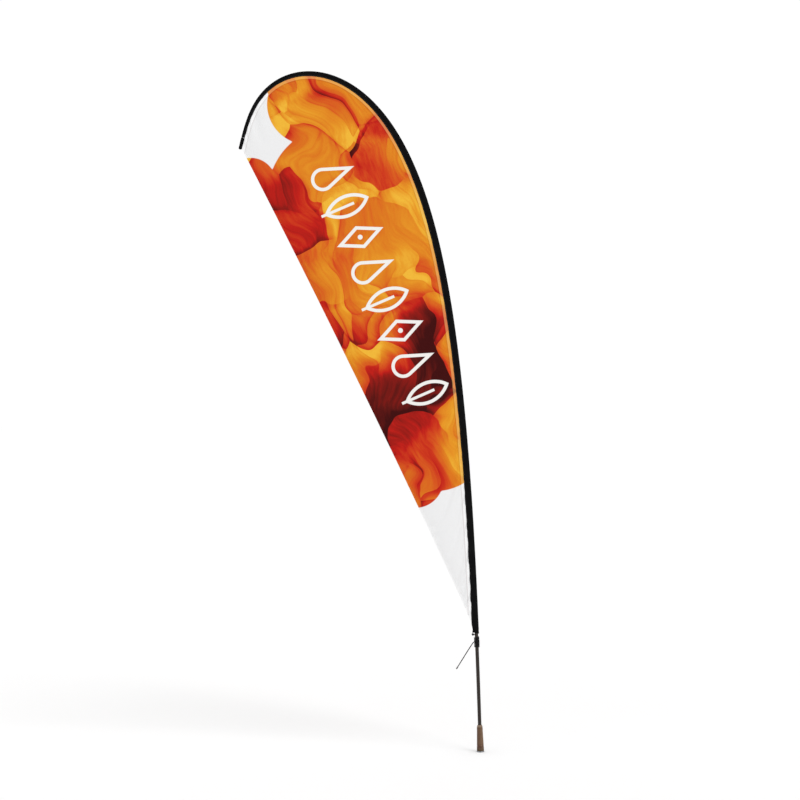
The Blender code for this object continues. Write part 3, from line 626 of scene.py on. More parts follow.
@dataclass(frozen=True)
class Thread(Finish):
    """Sewing thread: twisted, with a light fuzz."""

    colour: Colour
    fuzz: Colour

    def paint(self, nodes: Nodes) -> None:
        """Noise between two shades, and a fine bump."""
        fibres = nodes.noise(nodes.place(), 3200, 2)
        nodes.set(
            Base_Color=nodes.mix(nodes.span(fibres, 0.3, 0.7), self.colour, self.fuzz),
            Roughness=nodes.span(fibres, 0.3, 0.7, 0.6, 0.8),
            Sheen_Weight=0.1,
        )
        nodes.bump(fibres, 0.00005, 0.5)


class Mark(Enum):
    """Plain shapes of the printed row."""

    DROP = 0
    LEAF = 1
    DIAMOND = 2


@dataclass(frozen=True)
class Disc:
    """Soft round patch of the print: where it is, how big, and how much lighter or darker it makes the
    tone."""

    x: float
    z: float
    radius: float
    tone: float = 0.0


@dataclass(frozen=True)
class Petal:
    """Round petal of the print that lies over the others: its tone goes from low to high in its own
    direction."""

    x: float
    z: float
    radius: float
    turn: float
    low: float
    high: float
    fade: float = 1.0


@dataclass(frozen=True)
class PrintedKnit(Finish):
    """Dye-printed knit: flowing petals of yellow, orange, red and maroon, white at both ends, and a row of
    marks.

    The laid-flat place is (x, z, distance from the pocket's edge), so the print lies on the cloth as it was
    printed.
    """

    tones: tuple[tuple[float, Colour], ...] = (
        (0.00, (0.048, 0.0008, 0.0008)),
        (0.13, (0.118, 0.0045, 0.0025)),
        (0.26, (0.270, 0.0070, 0.0040)),
        (0.38, (0.510, 0.0100, 0.0055)),
        (0.48, (0.600, 0.0400, 0.0080)),
        (0.58, (0.660, 0.0950, 0.0100)),
        (0.70, (0.700, 0.1850, 0.0100)),
        (0.85, (0.770, 0.3000, 0.0160)),
        (1.00, (0.850, 0.4600, 0.0380)),
    )
    patches: tuple[Disc, ...] = (
        Disc(-0.30, 1.86, 0.34, -0.34),
        Disc(-0.16, 2.00, 0.26, -0.34),
        Disc(-0.25, 1.52, 0.30, -0.20),
        Disc(-0.86, 2.70, 0.24, -0.28),
        Disc(-0.70, 3.26, 0.15, -0.34),
        Disc(-0.44, 3.10, 0.13, -0.28),
        Disc(-0.24, 2.20, 0.20, -0.22),
        Disc(-0.56, 2.76, 0.34, 0.10),
        Disc(-0.42, 2.46, 0.34, 0.20),
        Disc(-0.85, 3.24, 0.18, 0.14),
        Disc(-0.34, 2.95, 0.26, 0.08),
        Disc(-0.60, 2.30, 0.26, 0.16),
    )
    petal_row: tuple[Petal, ...] = (
        Petal(-0.36, 1.86, 0.200, 80, 0.02, 0.34, 0.75),
        Petal(-0.88, 2.68, 0.170, 120, 0.33, 0.55, 0.60),
        Petal(-0.36, 2.52, 0.200, -50, 0.66, 1.02, 0.80),
        Petal(-0.72, 2.44, 0.150, 10, 0.58, 1.00, 0.80),
        Petal(-0.38, 3.00, 0.160, 60, 0.46, 0.90, 0.80),
        Petal(-0.24, 1.55, 0.150, -60, 0.34, 0.66, 0.80),
    )
    top_puffs: tuple[Disc, ...] = (
        Disc(-0.76, 3.265, 0.205), Disc(-0.63, 2.805, 0.345), Disc(-1.06, 2.875, 0.129)
    )
    low_puffs: tuple[Disc, ...] = (Disc(-0.29, 1.375, 0.1435), Disc(-0.18, 1.615, 0.302))
    white: Colour = (0.83, 0.83, 0.835)
    mark_white: Colour = (0.86, 0.85, 0.82)
    seam_white: Colour = (0.92, 0.92, 0.925)
    seam_tint: Colour = (0.33, 0.20, 0.07)
    seam_shade: Colour = (0.30, 0.18, 0.15)
    row_start: tuple[float, float] = (-0.645, 2.905)
    row_end: tuple[float, float] = (-0.214, 1.805)
    mark_count: int = 8
    mark_half: float = 0.112
    mark_width: float = 0.054
    stroke: float = 0.0165
    seam_width: float = 0.015

    def paint(self, nodes: Nodes) -> None:
        """Petals, then white ends, then the row of marks, then the seam allowance and the knit's own
        relief."""
        x, z, from_seam = nodes.split(nodes.laid_flat())
        at = nodes.joined(x, z, 0.0)
        colour = nodes.ramp(self.petals(nodes, at), self.tones)
        seam = nodes.span(from_seam, self.seam_width, self.seam_width - 0.002)
        colour = nodes.mix(seam, colour, self.seam_tint, "SCREEN")
        plain = nodes.mix(seam, self.white, self.seam_white)
        colour = nodes.mix(self.unprinted(nodes, at, z), colour, plain)
        colour = nodes.mix(self.marks(nodes, x, z), colour, self.mark_white)
        off_line = abs(from_seam - (self.seam_width + 0.001))
        line = nodes.span(off_line, 0.0035, 0.001, 0.0, 0.22)
        colour = nodes.mix(line, colour, self.seam_shade, "MULTIPLY")
        knit = nodes.ripple(x, 0.0016) * nodes.ripple(z, 0.0012)
        grain = nodes.noise(at, 900, 2)
        nodes.set(
            Base_Color=nodes.mix(nodes.span(knit + grain, -1, 2, 0.0, 0.07), colour, (0, 0, 0)),
            Roughness=nodes.span(grain, 0.3, 0.7, 0.72, 0.84),
            Specular_IOR_Level=0.12,
        )
        nodes.bump(knit + grain * 0.5, 0.00012, 0.4)

    def petals(self, nodes: Nodes, at: Value) -> Value:
        """Tone of the overlapping petals, from 0 dark to 1 light.

        The place is pushed about by noise, turned and squeezed, then cut into cells twice, large and small.
        Each cell is a petal with its own shade, which rises across it in its own direction, so that it is
        dark where the next one lies over it. Soft patches set where it is light or dark, and fine streaks run
        along the petals.

        Args:
            nodes: The node tree.
            at: Place on the cloth.

        Returns:
            The tone.

        """
        drift = nodes.noise(at, 2.3, 1, part="Color") - (0.5, 0.5, 0.5)
        curl = nodes.noise(at, 6.5, 1, part="Color") - (0.5, 0.5, 0.5)
        pushed = at + drift * 0.55 + curl * 0.08
        px, pz, _ = nodes.split(pushed)
        lean = math.radians(24)
        across = px * math.cos(lean) + pz * math.sin(lean)
        along = pz * math.cos(lean) - px * math.sin(lean)
        tone = nodes.noise(pushed, 3.0, 2) * 0.5 + 0.42
        for size, squeeze, own, rise, crease in ((2.7, 0.62, 0.28, 0.46, 0.13), (6.3, 0.5, 0.15, 0.26, 0.06)):
            place = nodes.joined(across, along * squeeze, 0.0)
            border = nodes.cells(place, size, feature="DISTANCE_TO_EDGE")
            shade, turn, _ = nodes.split(nodes.cells(place, size, "Color"))
            facing = nodes.joined(nodes.math("COSINE", turn * FULL), nodes.math("SINE", turn * FULL), 0.0)
            slope = nodes.vector("DOT_PRODUCT", place - nodes.cells(place, size, "Position"), facing)
            tone = (shade - 0.5) * own + tone
            tone = slope * (rise * size) + tone - nodes.span(border, 0.055, 0.0, 0.0, crease)
        shifted = at + drift * 0.30 + curl * 0.16
        for disc in self.patches:
            near = nodes.vector("DISTANCE", shifted, (disc.x, disc.z, 0))
            tone = tone + nodes.span(near, disc.radius, 0.0, 0.0, disc.tone)
        for petal in self.petal_row:
            tone = self.laid_over(nodes, shifted, petal, tone)
        streak = nodes.noise(nodes.joined(across * 5.0, along, 0.0), 9.0, 4, 0.62)
        return (streak - 0.5) * 0.34 + tone

    def laid_over(self, nodes: Nodes, at: Value, petal: Petal, tone: Value) -> Value:
        """Tone with one petal over it: crisp at its low side, faded out at its high side, in a shadow of its
        own."""
        turn = math.radians(petal.turn)
        offset = at - (petal.x, petal.z, 0)
        up = nodes.vector("DOT_PRODUCT", offset, (math.cos(turn), math.sin(turn), 0))
        side = nodes.vector("DOT_PRODUCT", offset, (-math.sin(turn), math.cos(turn), 0))
        reach = nodes.vector("LENGTH", nodes.joined(up * 0.72, side, 0.0))
        rise = up / petal.radius
        own = nodes.span(rise, -1.0, 1.0, petal.low, petal.high)
        shadow = nodes.span(reach, petal.radius * 1.25, petal.radius, 0.0, 0.16)
        kept = nodes.span(rise, 1.0, 1.0 - 1.6 * petal.fade, 0.0, 0.92)
        tone = tone - shadow * kept
        return tone + (own - tone) * (nodes.span(reach, petal.radius, petal.radius * 0.975) * kept)

    def unprinted(self, nodes: Nodes, at: Value, z: Value) -> Value:
        """Share of white: above or below the middle, and outside every round puff of the print's edge."""
        shares = []
        for puffs, sign, limit in ((self.top_puffs, 1.0, 2.715), (self.low_puffs, -1.0, -1.635)):
            gaps = [nodes.vector("DISTANCE", at, (puff.x, puff.z, 0)) - puff.radius for puff in puffs]
            outside = reduce(lambda one, other: nodes.math("SMOOTH_MIN", one, other, 0.012), gaps)
            shares.append(nodes.span(outside, -0.0015, 0.0025) * nodes.math("GREATER_THAN", z * sign, limit))
        left = nodes.math("LESS_THAN", nodes.split(at)[0] + z * 0.55, 0.868)
        return nodes.math("ADD", shares[0] * left, shares[1], clamp=True)

    def marks(self, nodes: Nodes, x: Value, z: Value) -> Value:
        """Share of the row's white: outlines of a drop, a leaf and a diamond in turn, each in its own cell.

        A cell's own place is (a, b), a along the row and b across it, both from the cell's middle. The
        outline is where the distance to the shape's edge is under half of the stroke.
        """
        (x0, z0), (x1, z1) = self.row_start, self.row_end
        length = math.hypot(x1 - x0, z1 - z0)
        ux, uz = (x1 - x0) / length, (z1 - z0) / length
        dx, dz = x - x0, z - z0
        b = dz * ux - dx * uz
        pitch = length / (self.mark_count - 1)
        cell = (dx * ux + dz * uz) / pitch + 0.5
        number = nodes.math("FLOOR", cell)
        side = abs((cell - number - 0.5) * pitch)
        kind = nodes.math("MODULO", number + 3.0, 3.0)
        shares = []
        for mark, shape in ((Mark.DROP, self.drop), (Mark.LEAF, self.leaf), (Mark.DIAMOND, self.diamond)):
            drawn = nodes.span(shape(nodes, side, b), self.stroke / 2 + 0.0006, self.stroke / 2 - 0.0006)
            shares.append(drawn * nodes.math("COMPARE", kind, float(mark.value), 0.4))
        share = reduce(lambda one, other: nodes.math("MAXIMUM", one, other), shares)
        return share * nodes.math("COMPARE", cell, self.mark_count / 2, self.mark_count / 2)

    def drop(self, nodes: Nodes, side: Value, b: Value) -> Value:
        """Distance to a drop's edge: a circle with two straight sides that meet at a point above it.

        The sides touch the circle where the slope to the point does, so the distance is to the side where the
        place lies past that touch, and to the circle elsewhere.
        """
        radius, rise = self.mark_width - 0.004, self.mark_half + 0.034
        lean = radius / rise
        flat = math.sqrt(1 - lean * lean)
        low = b + (self.mark_half - radius - 0.004)
        upper = nodes.math("GREATER_THAN", low * flat - side * lean, 0.0)
        to_side = side * flat + low * lean - radius
        to_circle = nodes.vector("LENGTH", nodes.joined(side, low, 0.0)) - radius
        return abs(to_side * upper + to_circle * (1.0 - upper))

    def leaf(self, nodes: Nodes, side: Value, b: Value) -> Value:
        """Distance to a leaf's edge, two arcs that meet in points, or to the rib along its middle."""
        half, width = self.mark_half - 0.004, self.mark_width - 0.006
        shift = (half * half - width * width) / (2 * width)
        outline = abs(nodes.vector("LENGTH", nodes.joined(side + shift, b, 0.0)) - (width + shift))
        rib = nodes.math("MAXIMUM", side, abs(b + half * 0.45) - half * 0.75)
        return nodes.math("MINIMUM", outline, rib + 0.0015)

    def diamond(self, nodes: Nodes, side: Value, b: Value) -> Value:
        """Distance to a diamond's edge or to the dot in its middle."""
        half, width = self.mark_half - 0.006, self.mark_width - 0.004
        slope = math.hypot(half, width)
        outline = abs(side * (half / slope) + abs(b) * (width / slope) - half * width / slope)
        dot = nodes.vector("LENGTH", nodes.joined(side, b, 0.0)) - 0.004
        return nodes.math("MINIMUM", outline, dot)


@dataclass(frozen=True)
class PaleFloor(Finish):
    """Pale, even studio floor."""

    low: Colour = (0.95, 0.95, 0.95)
    high: Colour = (0.97, 0.97, 0.97)

    def paint(self, nodes: Nodes) -> None:
        """Near-white with the faintest unevenness."""
        cloud = nodes.noise(nodes.place(), 1.2, 3)
        nodes.set(Base_Color=nodes.mix(cloud, self.low, self.high), Roughness=0.9, Specular_IOR_Level=0.1)


ZINC = Zinc("zinc_coat", "galvanised_steel")
RACE_STEEL = TurnedMetal("race_steel", "bearing_steel", (0.66, 0.67, 0.69), (0.30, 0.31, 0.33), 0.14)
PLATED = TurnedMetal("plated_ring", "pole_ferrule", (0.62, 0.62, 0.63), (0.34, 0.34, 0.35), 0.24)
BRASS = TurnedMetal("cage_brass", "brass", (0.66, 0.44, 0.16), (0.34, 0.20, 0.06), 0.24)
SOCKET = SocketCoat("socket_coat", "brown_socket")
NYLON = Moulded("bush_nylon", "brown_nylon", (0.185, 0.118, 0.070), (0.36, 0.29, 0.22), 0.45, 0.42)
RUBBER = Moulded("dull_rubber", "black_rubber", (0.010, 0.010, 0.010), (0.13, 0.12, 0.11), 0.25, 0.68, 900.0)
PLASTIC = Moulded("black_moulding", "black_plastic", (0.009, 0.009, 0.009), (0.10, 0.10, 0.10), 0.12, 0.34)
FIBRE = GlassFibre("wound_fibre", "dark_pole")
TAPE = Webbing("pocket_twill", "pocket_fabric", 0.0011)
TAB_TAPE = Webbing("tab_webbing", "pocket_fabric", 0.0016)
WOUND_CORD = BraidedCord("wound_cord", "black_cord", 5.0, 6.0)
BLACK_THREAD = Thread("black_thread", "pocket_fabric", (0.020, 0.020, 0.021), (0.075, 0.075, 0.08))
PRINT = PrintedKnit("printed_knit", "printed_fabric")
HEM_PRINT = PrintedKnit("printed_hem", "printed_fabric", white=(0.90, 0.90, 0.905))
THREAD_PRINT = PrintedKnit("printed_thread", "printed_fabric", white=(0.62, 0.62, 0.62))
FLOOR = PaleFloor("studio_floor", "")


def dress(
    piece: bpy.types.Object, finish: Finish, body: Body, replaced: tuple[str, ...] = ()
) -> bpy.types.Object:
    """Gives a piece its finish and its body, and hides the solids that it stands for.

    Args:
        piece: The piece, in place.
        finish: Its finish.
        body: The body that it moves with.
        replaced: Nodes of the solid model that it stands for.

    Returns:
        The same piece.
    """
    piece.data.materials.clear()
    piece.data.materials.append(finish.material())
    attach(piece, body.value)
    if replaced:
        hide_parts(*replaced)
    triangles = sum(len(p.vertices) - 2 for p in piece.data.polygons)
    LOG.info("%s: %d triangles on %s", piece.name, triangles, body.value)
    return piece


# ---------------------------------------------------------------- shapes along a path or about the axis
def turned(
    name: str, profile: Array, steps: int = 72, centre: tuple[float, float] = (0.0, 0.0)
) -> bpy.types.Object:
    """Surface of revolution about an upright axis.

    A point of the profile at radius r and height h goes to (r cos a, r sin a, h) for even angles a. A profile
    that starts and ends on the axis is closed there by fans, and any other closes on itself.

    Args:
        name: The piece's name.
        profile: (radius, height) points.
        steps: Points round.
        centre: Where the axis stands.

    Returns:
        The piece.

    """
    skin = Skin()
    on_axis = profile[0, 0] < 1e-9 and profile[-1, 0] < 1e-9
    rows = profile[1:-1] if on_axis else profile
    angle = circle(steps)
    radius, height = rows[:, :1], rows[:, 1:]
    points = zipped(radius * np.cos(angle) + centre[0], radius * np.sin(angle) + centre[1], height)
    if on_axis:
        skin.solid(points, np.array([[*centre, profile[0, 1]], [*centre, profile[-1, 1]]]))
    else:
        skin.grid(points, rows_close=True)
    return skin.built(name)


def slab(outline: Array, thick: float, edge: float) -> tuple[Array, Array]:
    """Plate with rounded edges, from a convex outline: its rings from face to face, and the middle of each
    face.

    Rings go from one face to the other. Each is the outline drawn in by edge times (1 - sin q), at edge times
    cos q short of the face, for q from 0 to a right angle and back.

    Args:
        outline: Points (n, 2) anticlockwise.
        thick: Thickness.
        edge: Radius of the rounding.

    Returns:
        Rings (m, n, 3) with the thickness along the third axis, and the two middles (2, 3).

    """
    q = np.linspace(0, math.pi / 2, 5)
    inset = np.concatenate([edge * (1 - np.sin(q)), edge * (1 - np.sin(q[::-1]))])
    depth = np.concatenate([-thick / 2 + edge * (1 - np.cos(q)), thick / 2 - edge * (1 - np.cos(q[::-1]))])
    ahead, behind = unit(np.roll(outline, -1, 0) - outline), unit(outline - np.roll(outline, 1, 0))
    inward = unit(np.stack([-(ahead + behind)[:, 1], (ahead + behind)[:, 0]], axis=1))
    flat = outline[None] + inset[:, None, None] * inward[None]
    rings = np.concatenate([flat, np.broadcast_to(depth[:, None, None], (*flat.shape[:2], 1))], axis=-1)
    middle = outline.mean(0)
    return rings, np.array([[*middle, -thick / 2], [*middle, thick / 2]])


@dataclass
class Braid:
    """Surface of a braided cord: two families of strands wound both ways, over and under each other.

    A point at angle a round and length s along has phases p = (n a + k s) / 2 and q = (n a - k s) / 2. The
    strands' heights are |cos p| + w/2 and |cos q| - w/2 with w = cos p cos q, and the surface takes the
    higher one.
    """

    strands: int = 8
    lay: float = 0.0085
    depth: float = 0.00042

    def height(self, angle: Array, along: Array) -> Array:
        """Height of the surface over its lowest places, in metres."""
        turn = FULL * along / self.lay * self.strands / 4
        p, q = self.strands * angle / 2 + turn, self.strands * angle / 2 - turn
        over = np.cos(p) * np.cos(q)
        return self.depth * np.maximum(np.abs(np.cos(p)) + over / 2, np.abs(np.cos(q)) - over / 2)


def carried(path: Array, radius: float, upright: Array, sides: int, braid: Braid | None) -> Skin:
    """Round cord carried along a path, with domed ends.

    At each point of the path the section's first axis is the upright direction crossed with the tangent, so
    the section doesn't twist. The radius shrinks at both ends as a quarter circle does.

    Args:
        path: Evenly spaced points.
        radius: Outer radius.
        upright: Direction that the path never runs along, (3,) or one for each point.
        sides: Points round.
        braid: Relief of the surface, or none.

    Returns:
        The skin, ready to be built.

    """
    tangent = unit(np.gradient(path, axis=0))
    across = unit(np.cross(np.broadcast_to(upright, path.shape), tangent))
    other = np.cross(tangent, across)
    along = lengths_along(path)
    angle = circle(sides)
    to_end = np.minimum(along, along[-1] - along)
    dome = np.sqrt(np.clip(1 - (1 - np.clip(to_end / (radius * 0.8), 0.02, 1)) ** 2, 0.03, 1))[:, None]
    relief = braid.height(angle[None], along[:, None]) - braid.depth * 1.5 if braid else np.zeros((1, sides))
    reach = (radius + relief) * dome
    out, side = reach * np.cos(angle), reach * np.sin(angle)
    points = path[:, None] + out[..., None] * across[:, None] + side[..., None] * other[:, None]
    flat = zipped(out, side, along[:, None])
    return Skin().solid(points, path[[0, -1]], flat, np.array([[0.0, 0.0, 0.0], [0.0, 0.0, along[-1]]]))


def stitches(
    skin: Skin, seats: Array, along: Array, up: Array,
    length: float, radius: float, flats: Array | None = None,
) -> None:
    """Adds a row of short threads that lie on a surface.

    Each is a flattened capsule: two six-sided rings at 0.32 of its length either side of its middle, and a
    point at each end that dips into the cloth.

    Args:
        skin: Skin that they are added to.
        seats: Middle of each, (n, 3).
        along: Direction of each.
        up: Direction out of the cloth at each.
        length: Length of one.
        radius: Half of its width.
        flats: Laid-flat place of each, or none for its own points.

    """
    angle = circle(6)
    side = np.cross(along, up)
    wide, high = radius * np.cos(angle)[None, :, None], radius * (0.8 * np.sin(angle) + 0.2)[None, :, None]
    section = wide * side[:, None] + high * up[:, None]
    rings = [seats[:, None] + share * length * along[:, None] + section for share in (-0.32, 0.32)]
    ends = [seats + share * length * along - 0.5 * radius * up for share in (-0.5, 0.5)]
    points = np.concatenate([*rings, ends[0][:, None], ends[1][:, None]], axis=1)
    laid = points if flats is None else np.repeat(flats[:, None], 14, axis=1)
    first = skin.add(points, laid) + 14 * np.arange(len(seats))[:, None]
    ring = np.arange(6)
    after = (ring + 1) % 6
    quads = zipped(ring, after, after + 6, ring + 6).reshape(1, 6, 4) + first[:, :, None]
    low = zipped(after, ring, np.full(6, 12)).reshape(1, 6, 3) + first[:, :, None]
    high = zipped(ring + 6, after + 6, np.full(6, 13)).reshape(1, 6, 3) + first[:, :, None]
    skin.faces += [quads.reshape(-1, 4), low.reshape(-1, 3), high.reshape(-1, 3)]


# ---------------------------------------------------------------- the pole's line
@dataclass
class PoleLine:
    """The pole's axis, by its place: the distance along it from the socket's mouth.

    The share of the tip's turn that is left at distance u from the tip is 1 / (1 + (u / bend) to the power),
    carried so that it is nothing at the socket and whole at the tip. The line is the running sum of the
    lean's direction, and goes on straight beyond both ends.
    """

    mouth: float = 0.135
    free: float = 4.125
    tip_turn: float = math.radians(164.4)
    bend: float = 0.602
    power: float = 2.346
    step: float = 0.001

    def __post_init__(self) -> None:
        """Works out the tables that places are read from."""
        self.places = np.linspace(0, self.free, round(self.free / self.step) + 1)
        share = 1 / (1 + ((self.free - self.places) / self.bend) ** self.power)
        self.leans = self.tip_turn * (share - share[0]) / (1 - share[0])
        middle = (self.leans[1:] + self.leans[:-1]) / 2
        self.xs = np.concatenate([[0], -np.cumsum(np.sin(middle)) * self.step])
        self.zs = self.mouth + np.concatenate([[0], np.cumsum(np.cos(middle)) * self.step])

    def along(self, place: Array) -> Array:
        """Unit vectors up the pole."""
        lean = np.interp(place, self.places, self.leans)
        return zipped(-np.sin(lean), np.zeros_like(lean), np.cos(lean))

    def outward(self, place: Array) -> Array:
        """Unit vectors across the pole to the outside of its bend."""
        lean = np.interp(place, self.places, self.leans)
        return zipped(np.cos(lean), np.zeros_like(lean), np.sin(lean))

    def at(self, place: Array, out: Array | float = 0.0, side: Array | float = 0.0) -> Array:
        """Points beside the axis: out to the outside of the bend, and side along +Y."""
        place, out, side = np.broadcast_arrays(np.asarray(place, float), out, side)
        held = np.clip(place, 0, self.free)
        x, z = (np.interp(held, self.places, values) for values in (self.xs, self.zs))
        beyond = (place - held)[..., None] * self.along(held)
        return zipped(x, side, z) + beyond + out[..., None] * self.outward(held)


@dataclass
class PocketShape:
    """Sizes of the black pocket: the space for the pole in it, its flat width, and its seam."""

    line: PoleLine
    low: float = 0.515
    wall: float = 0.0012
    full: float = 0.0355
    tip: float = 0.017
    taper: float = 1.25
    seam_thick: float = 0.0026
    slot_deep: float = 0.006
    slot_wide: float = 0.0009

    def cavity(self, place: Array) -> Array:
        """Radius of the space for the pole."""
        tops = self.line.free - 1.03 * np.arange(3, -1, -1)
        return np.interp(place, tops, [0.0117, 0.0102, 0.0087, 0.0049])

    def inner(self, place: Array) -> Array:
        """Distance of the seam edge from the pole's axis, towards the flag."""
        share = np.clip((self.line.free - place) / self.taper, 0, 1)
        return self.tip + (self.full - self.tip) * share - self.cavity(place) - self.wall

    def slot(self, place: Array) -> Array:
        """Depth of the slot in the seam that the flag's edge is sewn into."""
        return np.minimum(self.slot_deep, 0.5 * (self.inner(place) - self.cavity(place)))


@dataclass
class Section:
    """Closed section of the pocket: round the pole, drawn straight to the seam, with the slot for the flag in
    it.

    In each half the columns are: the slot's floor and mouth, the seam's corner, the straight side, then the
    arc from where the side touches the circle to the outermost point. The other half mirrors it.
    """

    side_steps: int = 7
    arc_steps: int = 11

    def columns(self, radius: Array, tail: Array, half: Array, slot: Array, slot_half: float) -> Array:
        """Section points for each place.

        Args:
            radius: Radius round the pole, (n,).
            tail: Distance of the seam edge from the axis, (n,).
            half: Half of the thickness at the seam, (n,).
            slot: Depth of the slot, (n,).
            slot_half: Half of the slot's width.

        Returns:
            (n, columns, 2) points, as (out, side).
        """
        radius, tail, half, slot = (value[:, None] for value in (radius, tail, half, slot))
        reach = np.sqrt(tail**2 + half**2)
        touch = np.pi - np.arctan2(half, tail) - np.arccos(np.clip(radius / reach, 0.02, 0.98))
        mouth = np.full_like(tail, slot_half)
        lips = [(-tail + slot, mouth), (-tail + 0.0003, mouth), (-tail, half * 0.6), (-tail + 0.0005, half)]
        start = np.concatenate([-tail + 0.0005, half], axis=1)
        end = np.concatenate([radius * np.cos(touch), radius * np.sin(touch)], axis=1)
        share = np.linspace(0, 1, self.side_steps + 1)[1:-1][None, :, None]
        straight = start[:, None] * (1 - share) + end[:, None] * share
        angle = touch * np.linspace(1, 0, self.arc_steps)[None]
        arc = zipped(radius * np.cos(angle), radius * np.sin(angle))
        corners = np.stack([np.concatenate(lip, axis=1) for lip in lips], axis=1)
        top = np.concatenate([corners, straight, arc], axis=1)
        return np.concatenate([top, top[:, -2::-1] * np.array([1, -1])], axis=1)


@dataclass
class PolePocket:
    """The black pocket along the flag's curved edge, its gathered cuff, and the doubled patch over the pole's
    tip."""

    line: PoleLine
    shape: PocketShape
    section: Section = field(default_factory=Section)
    step: float = 0.0055
    cuff_length: float = 0.055
    cuff_slant: float = 0.005
    gathers: int = 11
    gather_depth: float = 0.0010
    tip_low: float = 4.070
    tip_floor: float = 4.1273
    tip_top: float = 4.1298
    stitch: float = 0.0042

    def wrinkles(self, place: Array, angle: Array) -> Array:
        """Relief of the drawn cloth in metres: slanted ripples of three lengths, strongest on the side next
        to the seam."""
        slant = place + 0.012 * angle
        waves = 0.45 * np.sin(slant * 260 + 2 * np.sin(place * 19))
        waves = waves + 0.35 * np.sin(slant * 147 + 3 * np.sin(place * 7 + 1))
        waves = waves + 0.5 * np.sin(place * 53 + 1.4 * np.sin(place * 11))
        return 0.00026 * waves * (0.4 + 0.6 * ease((np.abs(angle) - 0.8) / 1.4))

    def skin_rings(self, place: Array, tail: Array, grow: Array | float = 0.0) -> tuple[Array, Array]:
        """Outer and inner rings of the pocket at places along the pole.

        Args:
            place: Places, (n,).
            tail: Distance of the seam edge from the axis at each.
            grow: What is added to the outer radius at each.

        Returns:
            Outer and inner (out, side) points, each (n, columns, 2).
        """
        shape = self.shape
        slot = np.minimum(shape.slot(place), np.maximum(0.5 * (tail - shape.cavity(place)), 0.0006))
        cavity, same = shape.cavity(place), np.ones_like(place)
        seam, mouth = shape.seam_thick / 2 * same, shape.slot_wide / 2
        outer = self.section.columns(cavity + shape.wall + grow, tail, seam, slot, mouth)
        back = np.maximum(tail - slot - 0.0016, cavity * 1.03)
        return outer, self.section.columns(cavity, back, 0.0006 * same, 0.0004 * same, 0.0001)

    def lifted(self, place: Array, rings: Array, relief: Array | float = 0.0) -> Array:
        """Section points carried onto the pole's line, pushed out from its axis by a relief."""
        reach = np.linalg.norm(rings, axis=-1, keepdims=True)
        pushed = rings * (1 + np.asarray(relief)[..., None] / reach)
        return self.line.at(place, pushed[..., 0], pushed[..., 1])

    def laid(self, place: Array, rings: Array) -> Array:
        """Laid-flat place of section points: distance round the section, nothing, and distance along the
        pole."""
        round_it = np.cumsum(np.linalg.norm(np.diff(rings, axis=1, prepend=rings[:, :1]), axis=-1), axis=1)
        return zipped(round_it, np.zeros_like(round_it), np.broadcast_to(place, round_it.shape))

    def tube(self, name: str, spread: Array, outer: Array, inner: Array, relief: Array) -> bpy.types.Object:
        """Open stretch of pocket: its outer skin up, its inner skin down, joined at both ends."""
        skin = Skin()
        points = np.concatenate([self.lifted(spread, outer, relief), self.lifted(spread, inner)[::-1]])
        flats = np.concatenate([self.laid(spread, outer), self.laid(spread, inner)[::-1]])
        skin.grid(points, flats, rows_close=True)
        return skin.built(name, 55)

    def build_pocket(self) -> bpy.types.Object:
        """The long stretch, sewn to the flag."""
        place = np.arange(self.shape.low, self.tip_low - FIT, self.step)
        outer, inner = self.skin_rings(place, self.shape.inner(place))
        relief = self.wrinkles(place[:, None], np.arctan2(outer[..., 1], outer[..., 0]))
        relief = relief * ease((place - place[0]) / 0.01)[:, None] * ease((place[-1] - place) / 0.01)[:, None]
        piece = self.tube("flag_pocket", place[:, None], outer, inner, relief)
        return dress(piece, TAPE, Body.POLE, ("pole_pocket",))

    def build_cuff(self) -> bpy.types.Object:
        """The lower end, drawn in round the pole: gathers deepen towards a thick lower edge, which is cut on
        a slant."""
        low = self.shape.low - FIT - self.cuff_length
        place = np.linspace(low, self.shape.low - FIT, 70)
        down = 1 - (place - low) / self.cuff_length
        cavity, wall = self.shape.cavity(place), self.shape.wall
        tail = self.shape.inner(place) * (1 - ease(down)) + (cavity + wall + 0.0035) * ease(down)
        hem = bell(down, 0.95, 0.05)
        waist = bell(down, 0.76, 0.10)
        outer, inner = self.skin_rings(place, tail, 0.0006 * hem - 0.0010 * waist)
        inner = inner * (1 - 0.03 * waist[:, None, None])
        angle = np.arctan2(outer[..., 1], outer[..., 0])
        folds = np.cos(self.gathers * angle + 1.6 * np.sin(3 * angle) + 5 * down[:, None])
        relief = self.gather_depth * folds * ease(down / 0.8)[:, None] * (1 - 0.55 * hem[:, None]) * 0.8
        relief = relief + self.wrinkles(place[:, None], angle) * ease(down / 0.2)[:, None]
        slant = self.cuff_slant * ease((down - 0.2) / 0.8)[:, None] * np.cos(angle) * -0.6
        piece = self.tube("gathered_cuff", place[:, None] + slant, outer, inner, relief)
        return dress(piece, TAPE, Body.POLE, ("pocket_cuff",))

